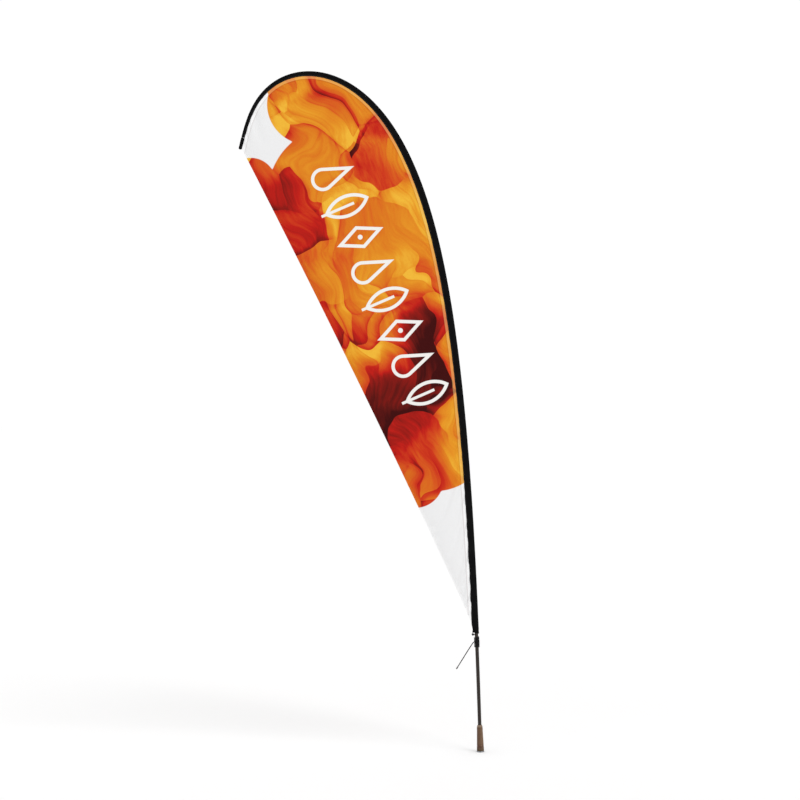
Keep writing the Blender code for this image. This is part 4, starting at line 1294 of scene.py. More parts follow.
    def build_tip(self) -> bpy.types.Object:
        """The closed end: a doubled patch with a turned-over lower edge, rounded over the pole's tip."""
        run = np.linspace(self.tip_low, self.tip_top - 0.006, 44)
        q = np.linspace(0.12, 1, 9) * math.pi / 2
        place = np.concatenate([run, self.tip_top - 0.006 + 0.006 * np.sin(q)])
        shrink = np.concatenate([np.ones(len(run)), np.cos(q) * 0.98 + 0.02])
        edge = 0.0005 * bell(place, self.tip_low + 0.002, 0.0016)
        held = np.minimum(place, self.line.free)
        outer, _ = self.skin_rings(held, self.shape.inner(held), 0.0004 + edge)
        outer = outer * shrink[:, None, None]
        bottom = self.tip_floor - 0.004
        deep = np.concatenate([np.linspace(self.tip_low, bottom, 30), bottom + 0.004 * np.sin(q)])
        narrow = np.concatenate([np.ones(30), np.cos(q) * 0.98 + 0.02])
        held = np.minimum(deep, self.line.free)
        _, inner = self.skin_rings(held, self.shape.inner(held))
        inner = inner * narrow[:, None, None]
        relief = self.wrinkles(place[:, None] * 1.6, np.arctan2(outer[..., 1], outer[..., 0]))
        relief = relief * shrink[:, None] * 0.8
        ends = np.array([deep[-1], place[-1]])
        deep, place = deep[:, None], place[:, None]
        points = np.concatenate([self.lifted(deep, inner)[::-1], self.lifted(place, outer, relief)])
        flat = np.concatenate([self.laid(deep, inner)[::-1], self.laid(place, outer)])
        skin = Skin().solid(points, self.line.at(ends), flat, ends[:, None] * np.array([0.0, 0.0, 1.0]))
        return dress(skin.built("tip_patch", 55), TAPE, Body.POLE, ("tip_pocket",))

    def build_stitches(self) -> bpy.types.Object:
        """Two rows of lock stitches along the seam on each side."""
        skin = Skin()
        place = np.arange(self.shape.low + 0.004, self.tip_low - 0.004, self.stitch)
        along = self.line.along(place)
        for inset in (0.0016, 0.0046):
            tail = self.shape.inner(place) - inset
            rise = self.shape.seam_thick / 2 + 0.0001 + self.slope(place) * inset
            keep = tail > self.shape.cavity(place) + 0.0016
            for face in (-1, 1):
                up = np.broadcast_to([0.0, face, 0.0], along.shape)
                seats = self.line.at(place, -tail, face * rise)
                stitches(skin, seats[keep], along[keep], up[keep], self.stitch * 0.86, 0.00030)
        return dress(skin.built("pocket_stitches"), BLACK_THREAD, Body.POLE)

    def slope(self, place: Array) -> Array:
        """Rise of the pocket's side over each metre from the seam towards the pole."""
        radius, tail = self.shape.cavity(place) + self.shape.wall, self.shape.inner(place)
        half = self.shape.seam_thick / 2
        touch = np.pi - np.arctan2(half, tail) - np.arccos(np.clip(radius / np.hypot(tail, half), 0.02, 0.98))
        return (radius * np.sin(touch) - half) / (tail + radius * np.cos(touch))


# ---------------------------------------------------------------- the flag
@dataclass
class ClothGrid:
    """Grid of cloth points that any place between them is read from by the Catmull-Rom cubic."""

    points: Array

    def weights(self, where: Array, count: int) -> tuple[Array, Array]:
        """The four neighbours of each place on one axis, and their weights."""
        at = np.clip(where, 0, 1) * (count - 1)
        base = np.clip(np.floor(at).astype(int), 0, count - 2)
        t = (at - base)[..., None]
        early = [-t + 2 * t**2 - t**3, 2 - 5 * t**2 + 3 * t**3]
        share = np.concatenate([*early, t + 4 * t**2 - 3 * t**3, t**3 - t**2], axis=-1) / 2
        return np.clip(base[..., None] + np.arange(-1, 3), 0, count - 1), share

    def read(self, t: Array, u: Array) -> Array:
        """Points at shares t along and u across, broadcast together."""
        t, u = np.broadcast_arrays(t, u)
        rows, row_weights = self.weights(t, self.points.shape[0])
        columns, column_weights = self.weights(u, self.points.shape[1])
        near = self.points[rows[..., :, None], columns[..., None, :]]
        return np.einsum("...i,...j,...ijk->...k", row_weights, column_weights, near)


@dataclass
class Flag:
    """The printed flag, ruled between its trailing edge (u = 0) and the pocket's seam (u = 1), from bottom to
    tip."""

    line: PoleLine
    shape: PocketShape
    hollow: float = 0.0125
    tuck: float = 0.004
    rows: int = 150
    columns: int = 28
    slack: float = 0.0045
    frames: int = 46
    most_bulge: float = 0.019
    panel_thick: float = 0.0005
    hem_wide: float = 0.014
    hem_thick: float = 0.0019
    hem_tuck: float = 0.0045
    stitch: float = 0.0034

    def __post_init__(self) -> None:
        """Works out the flat outline and lets the cloth settle."""
        ends = np.array([self.shape.low, self.line.free])
        corners = self.line.at(ends, -self.shape.inner(ends) - FIT)
        self.low_corner, chord = corners[0], corners[1] - corners[0]
        self.length = float(np.linalg.norm(chord))
        self.up = chord / self.length
        self.inward = np.array([self.up[2], 0.0, -self.up[0]])
        t = np.linspace(0, 1, self.rows)[:, None]
        u = np.linspace(0, 1, self.columns)[None]
        self.flat = ClothGrid(self.ruled(t, u))
        self.hung = ClothGrid(self.settled())

    def edge(self, t: Array) -> Array:
        """Trailing edge: the chord between the corners, moved in by 4 hollow t (1 - t)."""
        depth = 4 * self.hollow * t * (1 - t)
        return self.low_corner + (t * self.length)[..., None] * self.up + depth[..., None] * self.inward

    def seam(self, t: Array) -> Array:
        """Edge that is tucked into the pocket's slot."""
        place = self.shape.low + t * (self.line.free - self.shape.low)
        tucked = np.minimum(self.tuck, self.shape.slot(place) * 0.7)
        return self.line.at(place, -self.shape.inner(place) + tucked)

    def ruled(self, t: Array, u: Array) -> Array:
        """Flat cloth: (1 - u) of the trailing edge's point and u of the seam's."""
        t, u = np.broadcast_arrays(t, u)
        return self.edge(t) * (1 - u)[..., None] + self.seam(t) * u[..., None]

    def settled(self) -> Array:
        """Cloth after a simulation: sewn along the seam, held at both corners, a little slack, under its own
        weight.

        Returns:
            The grid's points. Sideways movement is held by a hyperbolic tangent, so that no fold passes
            most_bulge,
            and movement in the flag's own plane is halved, because the hem is stretched.

        """
        flat = self.flat.points
        skin = Skin()
        skin.grid(flat, columns_close=False)
        cloth = skin.built("settling_cloth")
        held = cloth.vertex_groups.new(name="held")
        numbers = np.arange(self.rows * self.columns).reshape(self.rows, self.columns)
        firm = np.concatenate([numbers[:, -1], numbers[:3].ravel(), numbers[-3:].ravel()])
        held.add(firm.tolist(), 1.0, "REPLACE")
        held.add(numbers[3:-3, 0].tolist(), 0.35, "REPLACE")
        modifier = cloth.modifiers.new("settle", "CLOTH")
        rules = modifier.settings
        rules.quality = 7
        rules.mass = 0.12
        rules.tension_stiffness = rules.compression_stiffness = 22.0
        rules.shear_stiffness = 8.0
        rules.bending_stiffness = 0.35
        rules.air_damping = 2.5
        rules.vertex_group_mass = "held"
        rules.pin_stiffness = 1.0
        rules.shrink_min = -self.slack
        modifier.collision_settings.use_collision = False
        modifier.collision_settings.use_self_collision = False
        modifier.point_cache.frame_start, modifier.point_cache.frame_end = 1, self.frames
        scene = bpy.context.scene
        gravity = tuple(scene.gravity)
        scene.gravity = (0.6, -1.3, -9.8)
        for number in range(1, self.frames + 1):
            scene.frame_set(number)
        shaped = cloth.evaluated_get(bpy.context.evaluated_depsgraph_get()).data
        moved = np.zeros(len(shaped.vertices) * 3, np.float32)
        shaped.vertices.foreach_get("co", moved)
        bpy.data.objects.remove(cloth)
        scene.gravity = gravity
        scene.frame_set(1)
        shift = moved.reshape(flat.shape).astype(float) - flat
        LOG.info("cloth settled: %.1f mm sideways at most", 1000 * np.abs(shift[..., 1]).max())
        shift[..., 1] = self.most_bulge * np.tanh(shift[..., 1] / self.most_bulge)
        shift[..., 0] *= 0.5
        shift[..., 2] *= 0.5
        return flat + shift

    def crossing(self, t: Array) -> tuple[Array, Array]:
        """For each ruling: distance across the flag from the trailing edge, and the same from the seam's
        edge."""
        ruling = self.seam(t) - self.edge(t)
        step = 1e-4
        trailing = unit(self.edge(np.clip(t + step, 0, 1)) - self.edge(np.clip(t - step, 0, 1)))
        sewn = self.line.along(self.shape.low + t * (self.line.free - self.shape.low))
        return (
            np.linalg.norm(np.cross(ruling, trailing), axis=-1),
            np.linalg.norm(np.cross(ruling, sewn), axis=-1),
        )

    def printed_place(self, t: Array, u: Array) -> Array:
        """Laid-flat place for the print: x, z and distance from the pocket's edge."""
        t, u = np.broadcast_arrays(t, u)
        flat = self.flat.read(t, u)
        return zipped(flat[..., 0], flat[..., 2], (1 - u) * self.crossing(t)[1] - self.tuck)

    def frames_at(self, t: Array, u: Array) -> tuple[Array, Array]:
        """Points of the hung cloth and its unit normals towards -Y, from differences along and across."""
        step = 2e-3
        points = self.hung.read(t, u)
        rise = self.hung.read(np.clip(t + step, 0, 1), u) - self.hung.read(np.clip(t - step, 0, 1), u)
        cross = self.hung.read(t, np.clip(u + step, 0, 1)) - self.hung.read(t, np.clip(u - step, 0, 1))
        normal = unit(np.cross(rise, cross))
        return points, normal * np.where(normal[..., 1:2] > 0, -1.0, 1.0)

    def build_panel(self) -> bpy.types.Object:
        """The panel as a closed thin shell: its face towards -Y, its back, and its four narrow edges."""
        t = np.linspace(0, 1, 430)[:, None]
        width = self.crossing(t[:, 0])[0][:, None]
        start = np.minimum((self.hem_wide - self.hem_tuck) / np.maximum(width, 1e-6), 0.9)
        u = start + (1 - start) * np.linspace(0, 1, 96)[None]
        points, normal = self.frames_at(t, u)
        flat = self.printed_place(t, u)
        half = self.panel_thick / 2
        skin = Skin()
        front = skin.grid(points + half * normal, flat, columns_close=False)
        back = skin.grid((points - half * normal)[:, ::-1], flat[:, ::-1], columns_close=False)[:, ::-1]
        front_rim = np.concatenate([front[0], front[1:, -1], front[-1, -2::-1], front[-2:0:-1, 0]])
        back_rim = np.concatenate([back[0], back[1:, -1], back[-1, -2::-1], back[-2:0:-1, 0]])
        rim = zipped(np.roll(front_rim, -1), front_rim, back_rim, np.roll(back_rim, -1))
        skin.faces.append(rim)
        return dress(skin.built("flag_cloth", 60), PRINT, Body.POLE, ("flag_panel",))

    def hem_rows(self) -> tuple[Array, Array]:
        """Shares along the trailing edge for the hem, and the widest that it may be at each."""
        t = np.linspace(0.0012, 0.9988, 900)
        return t, self.crossing(t)[0] * 0.94

    def build_hem(self) -> bpy.types.Object:
        """Hem folded over the trailing edge: a flat loop of two layers with a slot that the panel's edge is
        sewn into.

        The section goes from the slot's floor out over the front layer, round the fold and back over the rear
        layer. Both layers pucker between stitches by a sine of the length along the edge.
        """
        t, room = self.hem_rows()
        fold = np.linspace(-math.pi / 2, math.pi / 2, 9)
        half, slot = self.hem_thick / 2, self.panel_thick / 2 + 0.00015
        wide = self.hem_wide
        lip = [wide - self.hem_tuck - 0.0006, wide - 0.0002, wide]
        depth = np.concatenate([lip, np.linspace(wide - 0.0006, half * 1.4, 10)])
        out = np.concatenate([[slot, slot, (slot + half) / 2], np.full(10, half)])
        pucker = np.concatenate([[0, 0, 0.3], 1 - bell(np.linspace(wide, 0.001, 10), 0.0115, 0.002)])
        round_depth, round_out = half * 1.4 * (1 - np.cos(fold)), -half * np.sin(fold)
        across = np.concatenate([depth, round_depth, depth[::-1]])
        lift = np.concatenate([out, round_out, -out[::-1]])
        ripple = 0.00016 * np.sin(FULL * t * self.length / (self.stitch * 2))[:, None]
        weight = np.concatenate([pucker, np.zeros(len(fold)), -pucker[::-1]])[None]
        share = np.minimum(across[None], room[:, None]) / (room[:, None] / 0.94)
        points, normal = self.frames_at(t[:, None], share)
        points = points + (lift[None] + ripple * weight)[..., None] * normal
        skin = Skin()
        numbers = skin.grid(points, self.printed_place(t[:, None], share))
        for row, first in ((0, True), (-1, False)):
            flat = self.printed_place(t[row], share[row].mean())
            skin.cap(numbers[row], points[row].mean(0), flat, first)
        return dress(skin.built("flag_hem", 50), HEM_PRINT, Body.POLE, ("trailing_hem",))

    def build_stitches(self) -> bpy.types.Object:
        """Two rows of white stitches on each side of the hem."""
        reach = np.arange(0.05, self.length - 0.03, self.stitch)
        t = reach / self.length
        width = self.crossing(t)[0]
        skin = Skin()
        for inset in (0.0088, 0.0115):
            points, normal = self.frames_at(t, inset / width)
            flats = self.printed_place(t, inset / width)
            along = unit(np.gradient(points, axis=0))
            for face in (-1, 1):
                seats = points - face * (self.hem_thick / 2 + 0.00008) * normal
                stitches(skin, seats, along, -face * normal, self.stitch * 0.8, 0.00026, flats)
        return dress(skin.built("hem_stitches"), THREAD_PRINT, Body.POLE)

    def declare(self, panel: bpy.types.Object, hem: bpy.types.Object, thread: bpy.types.Object) -> None:
        """Works out the flag's flat outline, and how far its points reach along the chord and lie in across
        it."""
        t = np.linspace(0, 1, 2000)
        outline = np.vstack([self.edge(t), self.seam(t)[::-1]])
        reach, depth = (outline - self.low_corner) @ self.up, (outline - self.low_corner) @ self.inward


# ---------------------------------------------------------------- the tie cord
@dataclass
class TieCord:
    """The cord under the pocket: tied into the webbing tab, wound round the pole, with a free tail and a
    crimped end."""

    line: PoleLine
    shape: PocketShape
    thick: float = 0.005
    turns: float = 9.0
    pitch: float = 0.0055
    wrap_top: float = 0.4385
    pole_radius: float = 0.009
    tab_place: float = 0.4537
    tab_wide: float = 0.012
    tab_loop: float = 0.0042
    tab_web: float = 0.0016
    lead_turn: float = math.radians(150)
    tail_turns: float = 3.5
    end_length: float = 0.015
    tail_route: tuple[tuple[float, float, float], ...] = (
        (-0.0010, -0.0182, 0.0008),
        (-0.0110, -0.0164, -0.0012),
        (-0.0193, -0.0125, -0.0068),
        (-0.0275, -0.0085, -0.0185),
        (-0.0400, -0.0055, -0.0370),
        (-0.0535, -0.0030, -0.0572),
        (-0.0725, -0.0010, -0.0861),
        (-0.0976, 0.0005, -0.1240),
    )
    braid: Braid = field(default_factory=Braid)

    def tab_centre(self) -> Array:
        """Middle of the webbing loop."""
        low = np.array(self.tab_place + 0.006)
        tail = float(self.shape.cavity(low)) + self.shape.wall + 0.0035
        return self.line.at(np.array(self.tab_place), -tail - self.tab_web)

    def round_pole(self, place: Array, radius: Array, angle: Array) -> Array:
        """Points round the pole, at an angle from its outer side towards +Y."""
        return self.line.at(place, radius * np.cos(angle), radius * np.sin(angle))

    def wound_path(self) -> Array:
        """From the knot through the tab, round to the pole, and down it in turns that vary a little in
        pitch."""
        centre = self.tab_centre()
        passes = self.tab_wide / 2 + 0.002
        from_axis = float(self.line.at(np.array(self.tab_place))[0] - centre[0])
        radius, angle = math.hypot(from_axis, passes), math.pi - math.atan2(passes, from_axis)
        wound = self.pole_radius + self.thick / 2 + 0.0001
        side = np.array([0.0, 1.0, 0.0])
        straight = centre + np.linspace(-passes, passes, 16)[:, None] * side
        share = np.linspace(0.02, 1, 60)[:-1]
        lead = self.round_pole(
            self.tab_place + (self.wrap_top - self.tab_place) * ease(share) ** 0.8,
            radius + (wound - radius) * ease(share * 1.3),
            angle - share * self.lead_turn,
        )
        turn = np.linspace(0, self.turns, int(self.turns * 90))
        wobble = 0.00022 * np.sin(turn * 4.1) + 0.00018 * np.sin(turn * 9.7 + 1)
        place = self.wrap_top - self.pitch * turn
        below = place - (self.wrap_top - self.tail_turns * self.pitch)
        facing = np.mod(angle - self.lead_turn - FULL * turn + math.radians(25) + math.pi, FULL) - math.pi
        dying = np.exp(-np.maximum(np.abs(below) - 0.003, 0) / 0.006 - (facing / 0.8) ** 2)
        place = place + 0.0024 * np.sign(below) * dying + wobble
        radius = wound + 0.00015 * np.sin(turn * 5.3)
        wraps = self.round_pole(place, radius, angle - self.lead_turn - FULL * turn)
        return softened(evenly(np.vstack([straight, lead, wraps]), 0.00055), 12)

    def build_wraps(self) -> bpy.types.Object:
        """The wound cord with its braid."""
        path = self.wound_path()
        skin = carried(path, self.thick / 2, np.array([0.0, 0.0, 1.0]), 36, self.braid)
        return dress(skin.built("tie_wraps", 70), WOUND_CORD, Body.POLE, ("tie_cord",))

    def build_knot(self) -> bpy.types.Object:
        """Stopper knot: the cord laid in a closed trefoil, (sin t + 2 sin 2t, cos t - 2 cos 2t, -sin 3t)
        drawn tight."""
        centre = self.tab_centre() - np.array([0.0, self.tab_wide / 2 + 0.002 + 0.0058 + FIT, 0.0])
        t = np.linspace(0, FULL, 260)
        loop = zipped(np.sin(t) + 2 * np.sin(2 * t), -1.25 * np.sin(3 * t), np.cos(t) - 2 * np.cos(2 * t))
        size = 0.00118
        path = centre + loop * np.array([size, size * 1.35, size])
        tangent = unit(np.gradient(path, axis=0))
        upright = np.cross(tangent, unit(path - centre))
        skin = carried(path, self.thick / 2 - 0.0003, np.cross(upright, tangent), 28, self.braid)
        return dress(skin.built("stopper_knot", 70), WOUND_CORD, Body.POLE, ("tie_cord_knot",))

    def tail_path(self) -> Array:
        """Free tail's route: round the pole between two turns, out over them at the front, and down to its
        end."""
        place = self.wrap_top - self.tail_turns * self.pitch
        radii, angles = np.array([0.0092, 0.0116, 0.0132, 0.0160]), np.radians([42.0, 8.0, -28.0, -62.0])
        under = self.round_pole(np.full(4, place), radii, angles)
        route = self.line.at(np.array(place)) + np.array(self.tail_route)
        return evenly(catmull_rom(np.vstack([under, route])), 0.0005)

    def build_tail(self) -> tuple[bpy.types.Object, bpy.types.Object]:
        """The free tail and the crimped end on it.

        Returns:
            Tail and end.
        """
        path = self.tail_path()
        length = float(lengths_along(path)[-1])
        skin = carried(path, self.thick / 2, np.array([0.0, 0.25, 1.0]), 36, self.braid)
        # The grey sheen along the tail is painted into its colour, from its start to past its end.
        finish = BraidedCord("tail_cord", "black_cord", 0.03, length * 1.05)
        tail = dress(skin.built("tie_tail", 70), finish, Body.POLE, ("tie_cord_tail",))
        end = self.build_end(path)
        LOG.info("free tail is %.3f m long", length)
        leaving = self.line.at(np.array(self.wrap_top - self.tail_turns * self.pitch)) + self.tail_route[0]
        return tail, end

    def build_end(self, path: Array) -> bpy.types.Object:
        """Crimped plastic end: a cup over the cord with a rolled mouth, two pressed rings and a blunt
        nose."""
        direction = unit(path[-1] - path[-4])
        radius = self.thick / 2 + 0.0007
        s = np.linspace(0, 1, 80)
        press = 0.00045 * (bell(s, 0.30, 0.035) + bell(s, 0.44, 0.035))
        mouth = 0.00025 * bell(s, 0.04, 0.03)
        nose = np.sqrt(np.clip(1 - np.clip((s - 0.86) / 0.14, 0, 0.999) ** 2, 0.002, 1))
        reach = (radius - press + mouth) * nose
        across = unit(np.cross(np.array([0.0, 1.0, 0.0]), direction))
        other = np.cross(direction, across)
        angle = circle(36)
        ring = np.cos(angle)[:, None] * across + np.sin(angle)[:, None] * other
        base = path[-1] + FIT * direction
        points = base + (s * self.end_length)[:, None, None] * direction + reach[:, None, None] * ring[None]
        skin = Skin().solid(points, np.array([base, base + self.end_length * direction]))
        return dress(skin.built("crimped_end"), PLASTIC, Body.POLE, ("tie_cord_end",))

    def build_tab(self) -> bpy.types.Object:
        """Webbing tab: a tape that hangs from the cuff's seam, goes round the cord and comes back up, sewn at
        the neck.

        Its middle line is a drop: an arc below the cord and two sides that meet above it. The tape's section
        is a flat bar with rounded selvedges, carried along that line.
        """
        centre = self.tab_centre()
        mid = self.tab_loop + self.tab_web / 2
        arc = np.radians(np.linspace(-200, 20, 12))
        bend = zipped(mid * np.cos(arc), mid * np.sin(arc))
        leg = np.array([0.0075, 0.0125, 0.0180])
        inner = zipped(self.tab_web / 2 - 0.00045 * (leg - leg[0]) / 0.01, leg)
        outer = inner - np.array([self.tab_web + 0.00005, 0.0])
        line = catmull_rom(np.vstack([outer[::-1], bend, inner]), 12)
        tangent = unit(np.gradient(line, axis=0))
        normal = zipped(-tangent[:, 1], tangent[:, 0])
        half, thick = self.tab_wide / 2, self.tab_web / 2
        q = circle(40)
        wide = half * boxed(np.cos(q), 0.35)
        deep = thick * boxed(np.sin(q), 0.55)
        rib = 1 + 0.10 * np.cos(wide * FULL / 0.0024)
        x = line[:, :1] + normal[:, :1] * (deep * rib)[None]
        z = line[:, 1:] + normal[:, 1:] * (deep * rib)[None]
        points = zipped(centre[0] + x, centre[1] + wide, centre[2] + z)
        flat = zipped(wide, 0.0, lengths_along(line)[:, None])
        skin = Skin().solid(points, points[[0, -1]].mean(1), flat, flat[[0, -1]].mean(1))
        return dress(skin.built("cord_tab"), TAB_TAPE, Body.POLE, ("webbing_tab",))


# ---------------------------------------------------------------- the pole
@dataclass
class Pole:
    """Four pole sections that plug into one another, with a ferrule and a stop ring at each joint."""

    line: PoleLine
    base_radius: float = 0.009
    tube_wall: float = 0.0012
    reach: float = 1.03
    plug: float = 0.09
    tip_radius: float = 0.0024
    ferrule_wall: float = 0.0008
    ferrule_length: float = 0.028
    ring_length: float = 0.007
    cap_wall: float = 0.0011
    cap_length: float = 0.016
    cap_end: float = 0.002
    tube_low: float = 0.0606
    foot_low: float = 0.0563
    foot_flange: float = 0.004
    sides: int = 40
    tip_sides: int = 32

    def rings(self, places: Array, radii: Array, sides: int) -> tuple[Array, Array]:
        """Rings round the pole's line, and their laid-flat places, from a radius at each place."""
        angle = circle(sides)[None]
        out, side = radii[:, None] * np.cos(angle), radii[:, None] * np.sin(angle)
        return self.line.at(places[:, None], out, side), zipped(out, side, places[:, None])

    def sleeve(self, name: str, place: Array, outer: Array, inner: Array) -> bpy.types.Object:
        """Hollow round piece along the pole's line, from outer and inner radii at each place."""
        places, radii = np.concatenate([place, place[::-1]]), np.concatenate([outer, inner[::-1]])
        skin = Skin()
        skin.grid(*self.rings(places, radii, self.sides), rows_close=True)
        return skin.built(name)

    def tube_profile(self, low: float, high: float, radius: float) -> tuple[Array, Array, Array]:
        """Places and radii of a tube with rounded ends."""
        edge = 0.0005
        q = np.linspace(0, math.pi / 2, 5)
        run = np.linspace(low + edge, high - edge, max(12, int((high - low) / 0.011)))
        place = np.concatenate([low + edge * (1 - np.cos(q)), run[1:-1], high - edge * (1 - np.cos(q[::-1]))])
        bevel = edge * np.concatenate([1 - np.sin(q), np.zeros(len(run) - 2), 1 - np.sin(q[::-1])])
        return place, radius - bevel, np.full_like(place, radius - self.tube_wall) + bevel * 0.3

    def build(self) -> None:
        """All sections and their fittings."""
        radii = [self.base_radius - n * (self.tube_wall + FIT) for n in range(4)]
        tops = [self.line.free - (3 - n) * self.reach for n in range(3)]
        lows = [self.tube_low - self.line.mouth, tops[0] - self.plug, tops[1] - self.plug]
        for name, low, top, radius in zip(("base", "middle", "upper"), lows, tops, radii):
            piece = self.sleeve(f"{name}_section", *self.tube_profile(low, top, radius))
            dress(piece, FIBRE, Body.POLE, (f"{name}_pole_tube",))
            self.build_ferrule(name, top, radius)
        for name, place, radius, below in zip(("middle", "upper", "tip"), tops, radii[1:], radii):
            self.build_stop(name, place, radius, below)
        self.build_rod(tops[2] - self.plug, radii[3])
        self.build_cap()
        self.build_foot()

    def build_ferrule(self, name: str, top: float, radius: float) -> None:
        """Spun metal ring round a tube's mouth, with a rolled bead at its lower edge and two pressed
        grooves."""
        s = np.linspace(0, 1, 60)
        groove = bell(s, 0.35, 0.03) + bell(s, 0.65, 0.03)
        bead = 0.0002 * bell(s, 0.05, 0.035)
        lip = 0.0003 * (np.clip((s - 0.985) / 0.015, 0, 1) + np.clip((0.015 - s) / 0.015, 0, 1))
        outer = radius + FIT + self.ferrule_wall + bead - 0.00022 * groove - lip
        place = top - self.ferrule_length * (1 - s)
        piece = self.sleeve(f"{name}_ferrule", place, outer, np.full_like(s, radius + FIT))
        dress(piece, PLATED, Body.POLE, (f"{name}_pole_ferrule",))

    def build_stop(self, name: str, place: float, radius: float, below: float) -> None:
        """Moulded ring that stops a section at its plug, with rounded edges and a shallow waist."""
        s = np.linspace(0, 1, 40)
        edge = 0.0006 * (1 - np.sqrt(np.clip(1 - np.clip(np.abs(2 * s - 1) * 4 - 3, 0, 0.999) ** 2, 0, 1)))
        waist = 0.0002 * bell(s, 0.5, 0.12)
        places = place + FIT + s * self.ring_length
        piece = self.sleeve(f"{name}_stop", places, below - edge - waist, np.full_like(s, radius + FIT))
        dress(piece, PLASTIC, Body.POLE, (f"{name}_stop_ring",))

    def build_rod(self, low: float, radius: float) -> None:
        """Solid tip rod, tapered above its plug, with domed ends."""
        end = 0.0012
        q = np.linspace(0.15, 1, 6) * math.pi / 2
        run = np.linspace(low + end, self.line.free - end, 150)
        top = self.line.free
        place = np.concatenate([low + end * (1 - np.cos(q)), run, top - end * (1 - np.cos(q[::-1]))])
        share = np.clip((top - place) / self.reach, 0, 1)
        dome = np.concatenate([np.sin(q), np.ones(len(run)), np.sin(q[::-1])])
        radii = (self.tip_radius + (radius - self.tip_radius) * share) * dome
        points, flat = self.rings(place, radii, self.tip_sides)
        skin = Skin().solid(points, self.line.at(np.array([low, self.line.free])), flat)
        dress(skin.built("tapered_rod"), FIBRE, Body.POLE, ("tip_rod",))

    def build_cap(self) -> None:
        """Rubber cap on the rod's end: a cup with a rounded nose and three raised rings."""
        bore, outer = self.tip_radius + 2 * FIT, self.tip_radius + 2 * FIT + self.cap_wall
        low, end = self.line.free - self.cap_length + self.cap_end, self.line.free + self.cap_end
        s = np.linspace(0, 1, 46)
        rings = sum(0.00018 * bell(s, middle, 0.03) for middle in (0.15, 0.3, 0.45))
        nose = np.sqrt(np.clip(1 - np.clip((s - 0.84) / 0.16, 0, 0.998) ** 2, 0.002, 1))
        up, reach = low + s * (end - low), (outer - 0.0002 + rings) * nose
        places = np.concatenate([[self.line.free + FIT, self.line.free + FIT - 0.0004, low], up])
        points, _ = self.rings(places, np.concatenate([[bore * 0.8, bore, bore], reach]), self.tip_sides)
        skin = Skin().solid(points, self.line.at(np.array([places[0], end])))
        dress(skin.built("rod_cap"), RUBBER, Body.POLE, ("tip_cap",))

    def build_foot(self) -> None:
        """Plug in the pole's foot: a flange under the tube and a ribbed stem inside it."""
        low, stem = self.foot_low, self.base_radius - self.tube_wall - FIT
        z = low + self.foot_flange
        ribs = [(stem - 0.0006 * (n % 2), z + 0.002 + 0.0012 * n) for n in range(9)]
        flange = [(0, low), (self.base_radius, low), (self.base_radius, z), (stem, z)]
        profile = [*flange, *ribs, (stem - 0.001, z + 0.014), (0, z + 0.014)]
        piece = turned("foot_plug", rounded(profile, 0.0006, 3, loop=False), 48)
        dress(piece, PLASTIC, Body.POLE, ("base_pole_plug",))


# ---------------------------------------------------------------- socket, bearings and spike
@dataclass
class Levels:
    """Heights on the spike's axis and the radii of what turns there, as the solid model has them."""

    flange_top: float = 0.005
    seal_top: float = 0.0083
    housing_low: float = 0.0065
    housing_clip: float = 0.0086
    lower_bearing: float = 0.0101
    spacer_low: float = 0.0179
    upper_bearing: float = 0.0331
    washer_low: float = 0.0409
    spindle_clip: float = 0.0422
    spindle_top: float = 0.0457
    web_low: float = 0.0487
    web_top: float = 0.0527
    pad_low: float = 0.053
    race_width: float = 0.0075
    clip: float = 0.0012
    housing_top: float = 0.1245
    mouth: float = 0.135
    bore: float = 0.0095
    spindle: float = 0.006
    spike: float = 0.008
    race_outer: float = 0.014


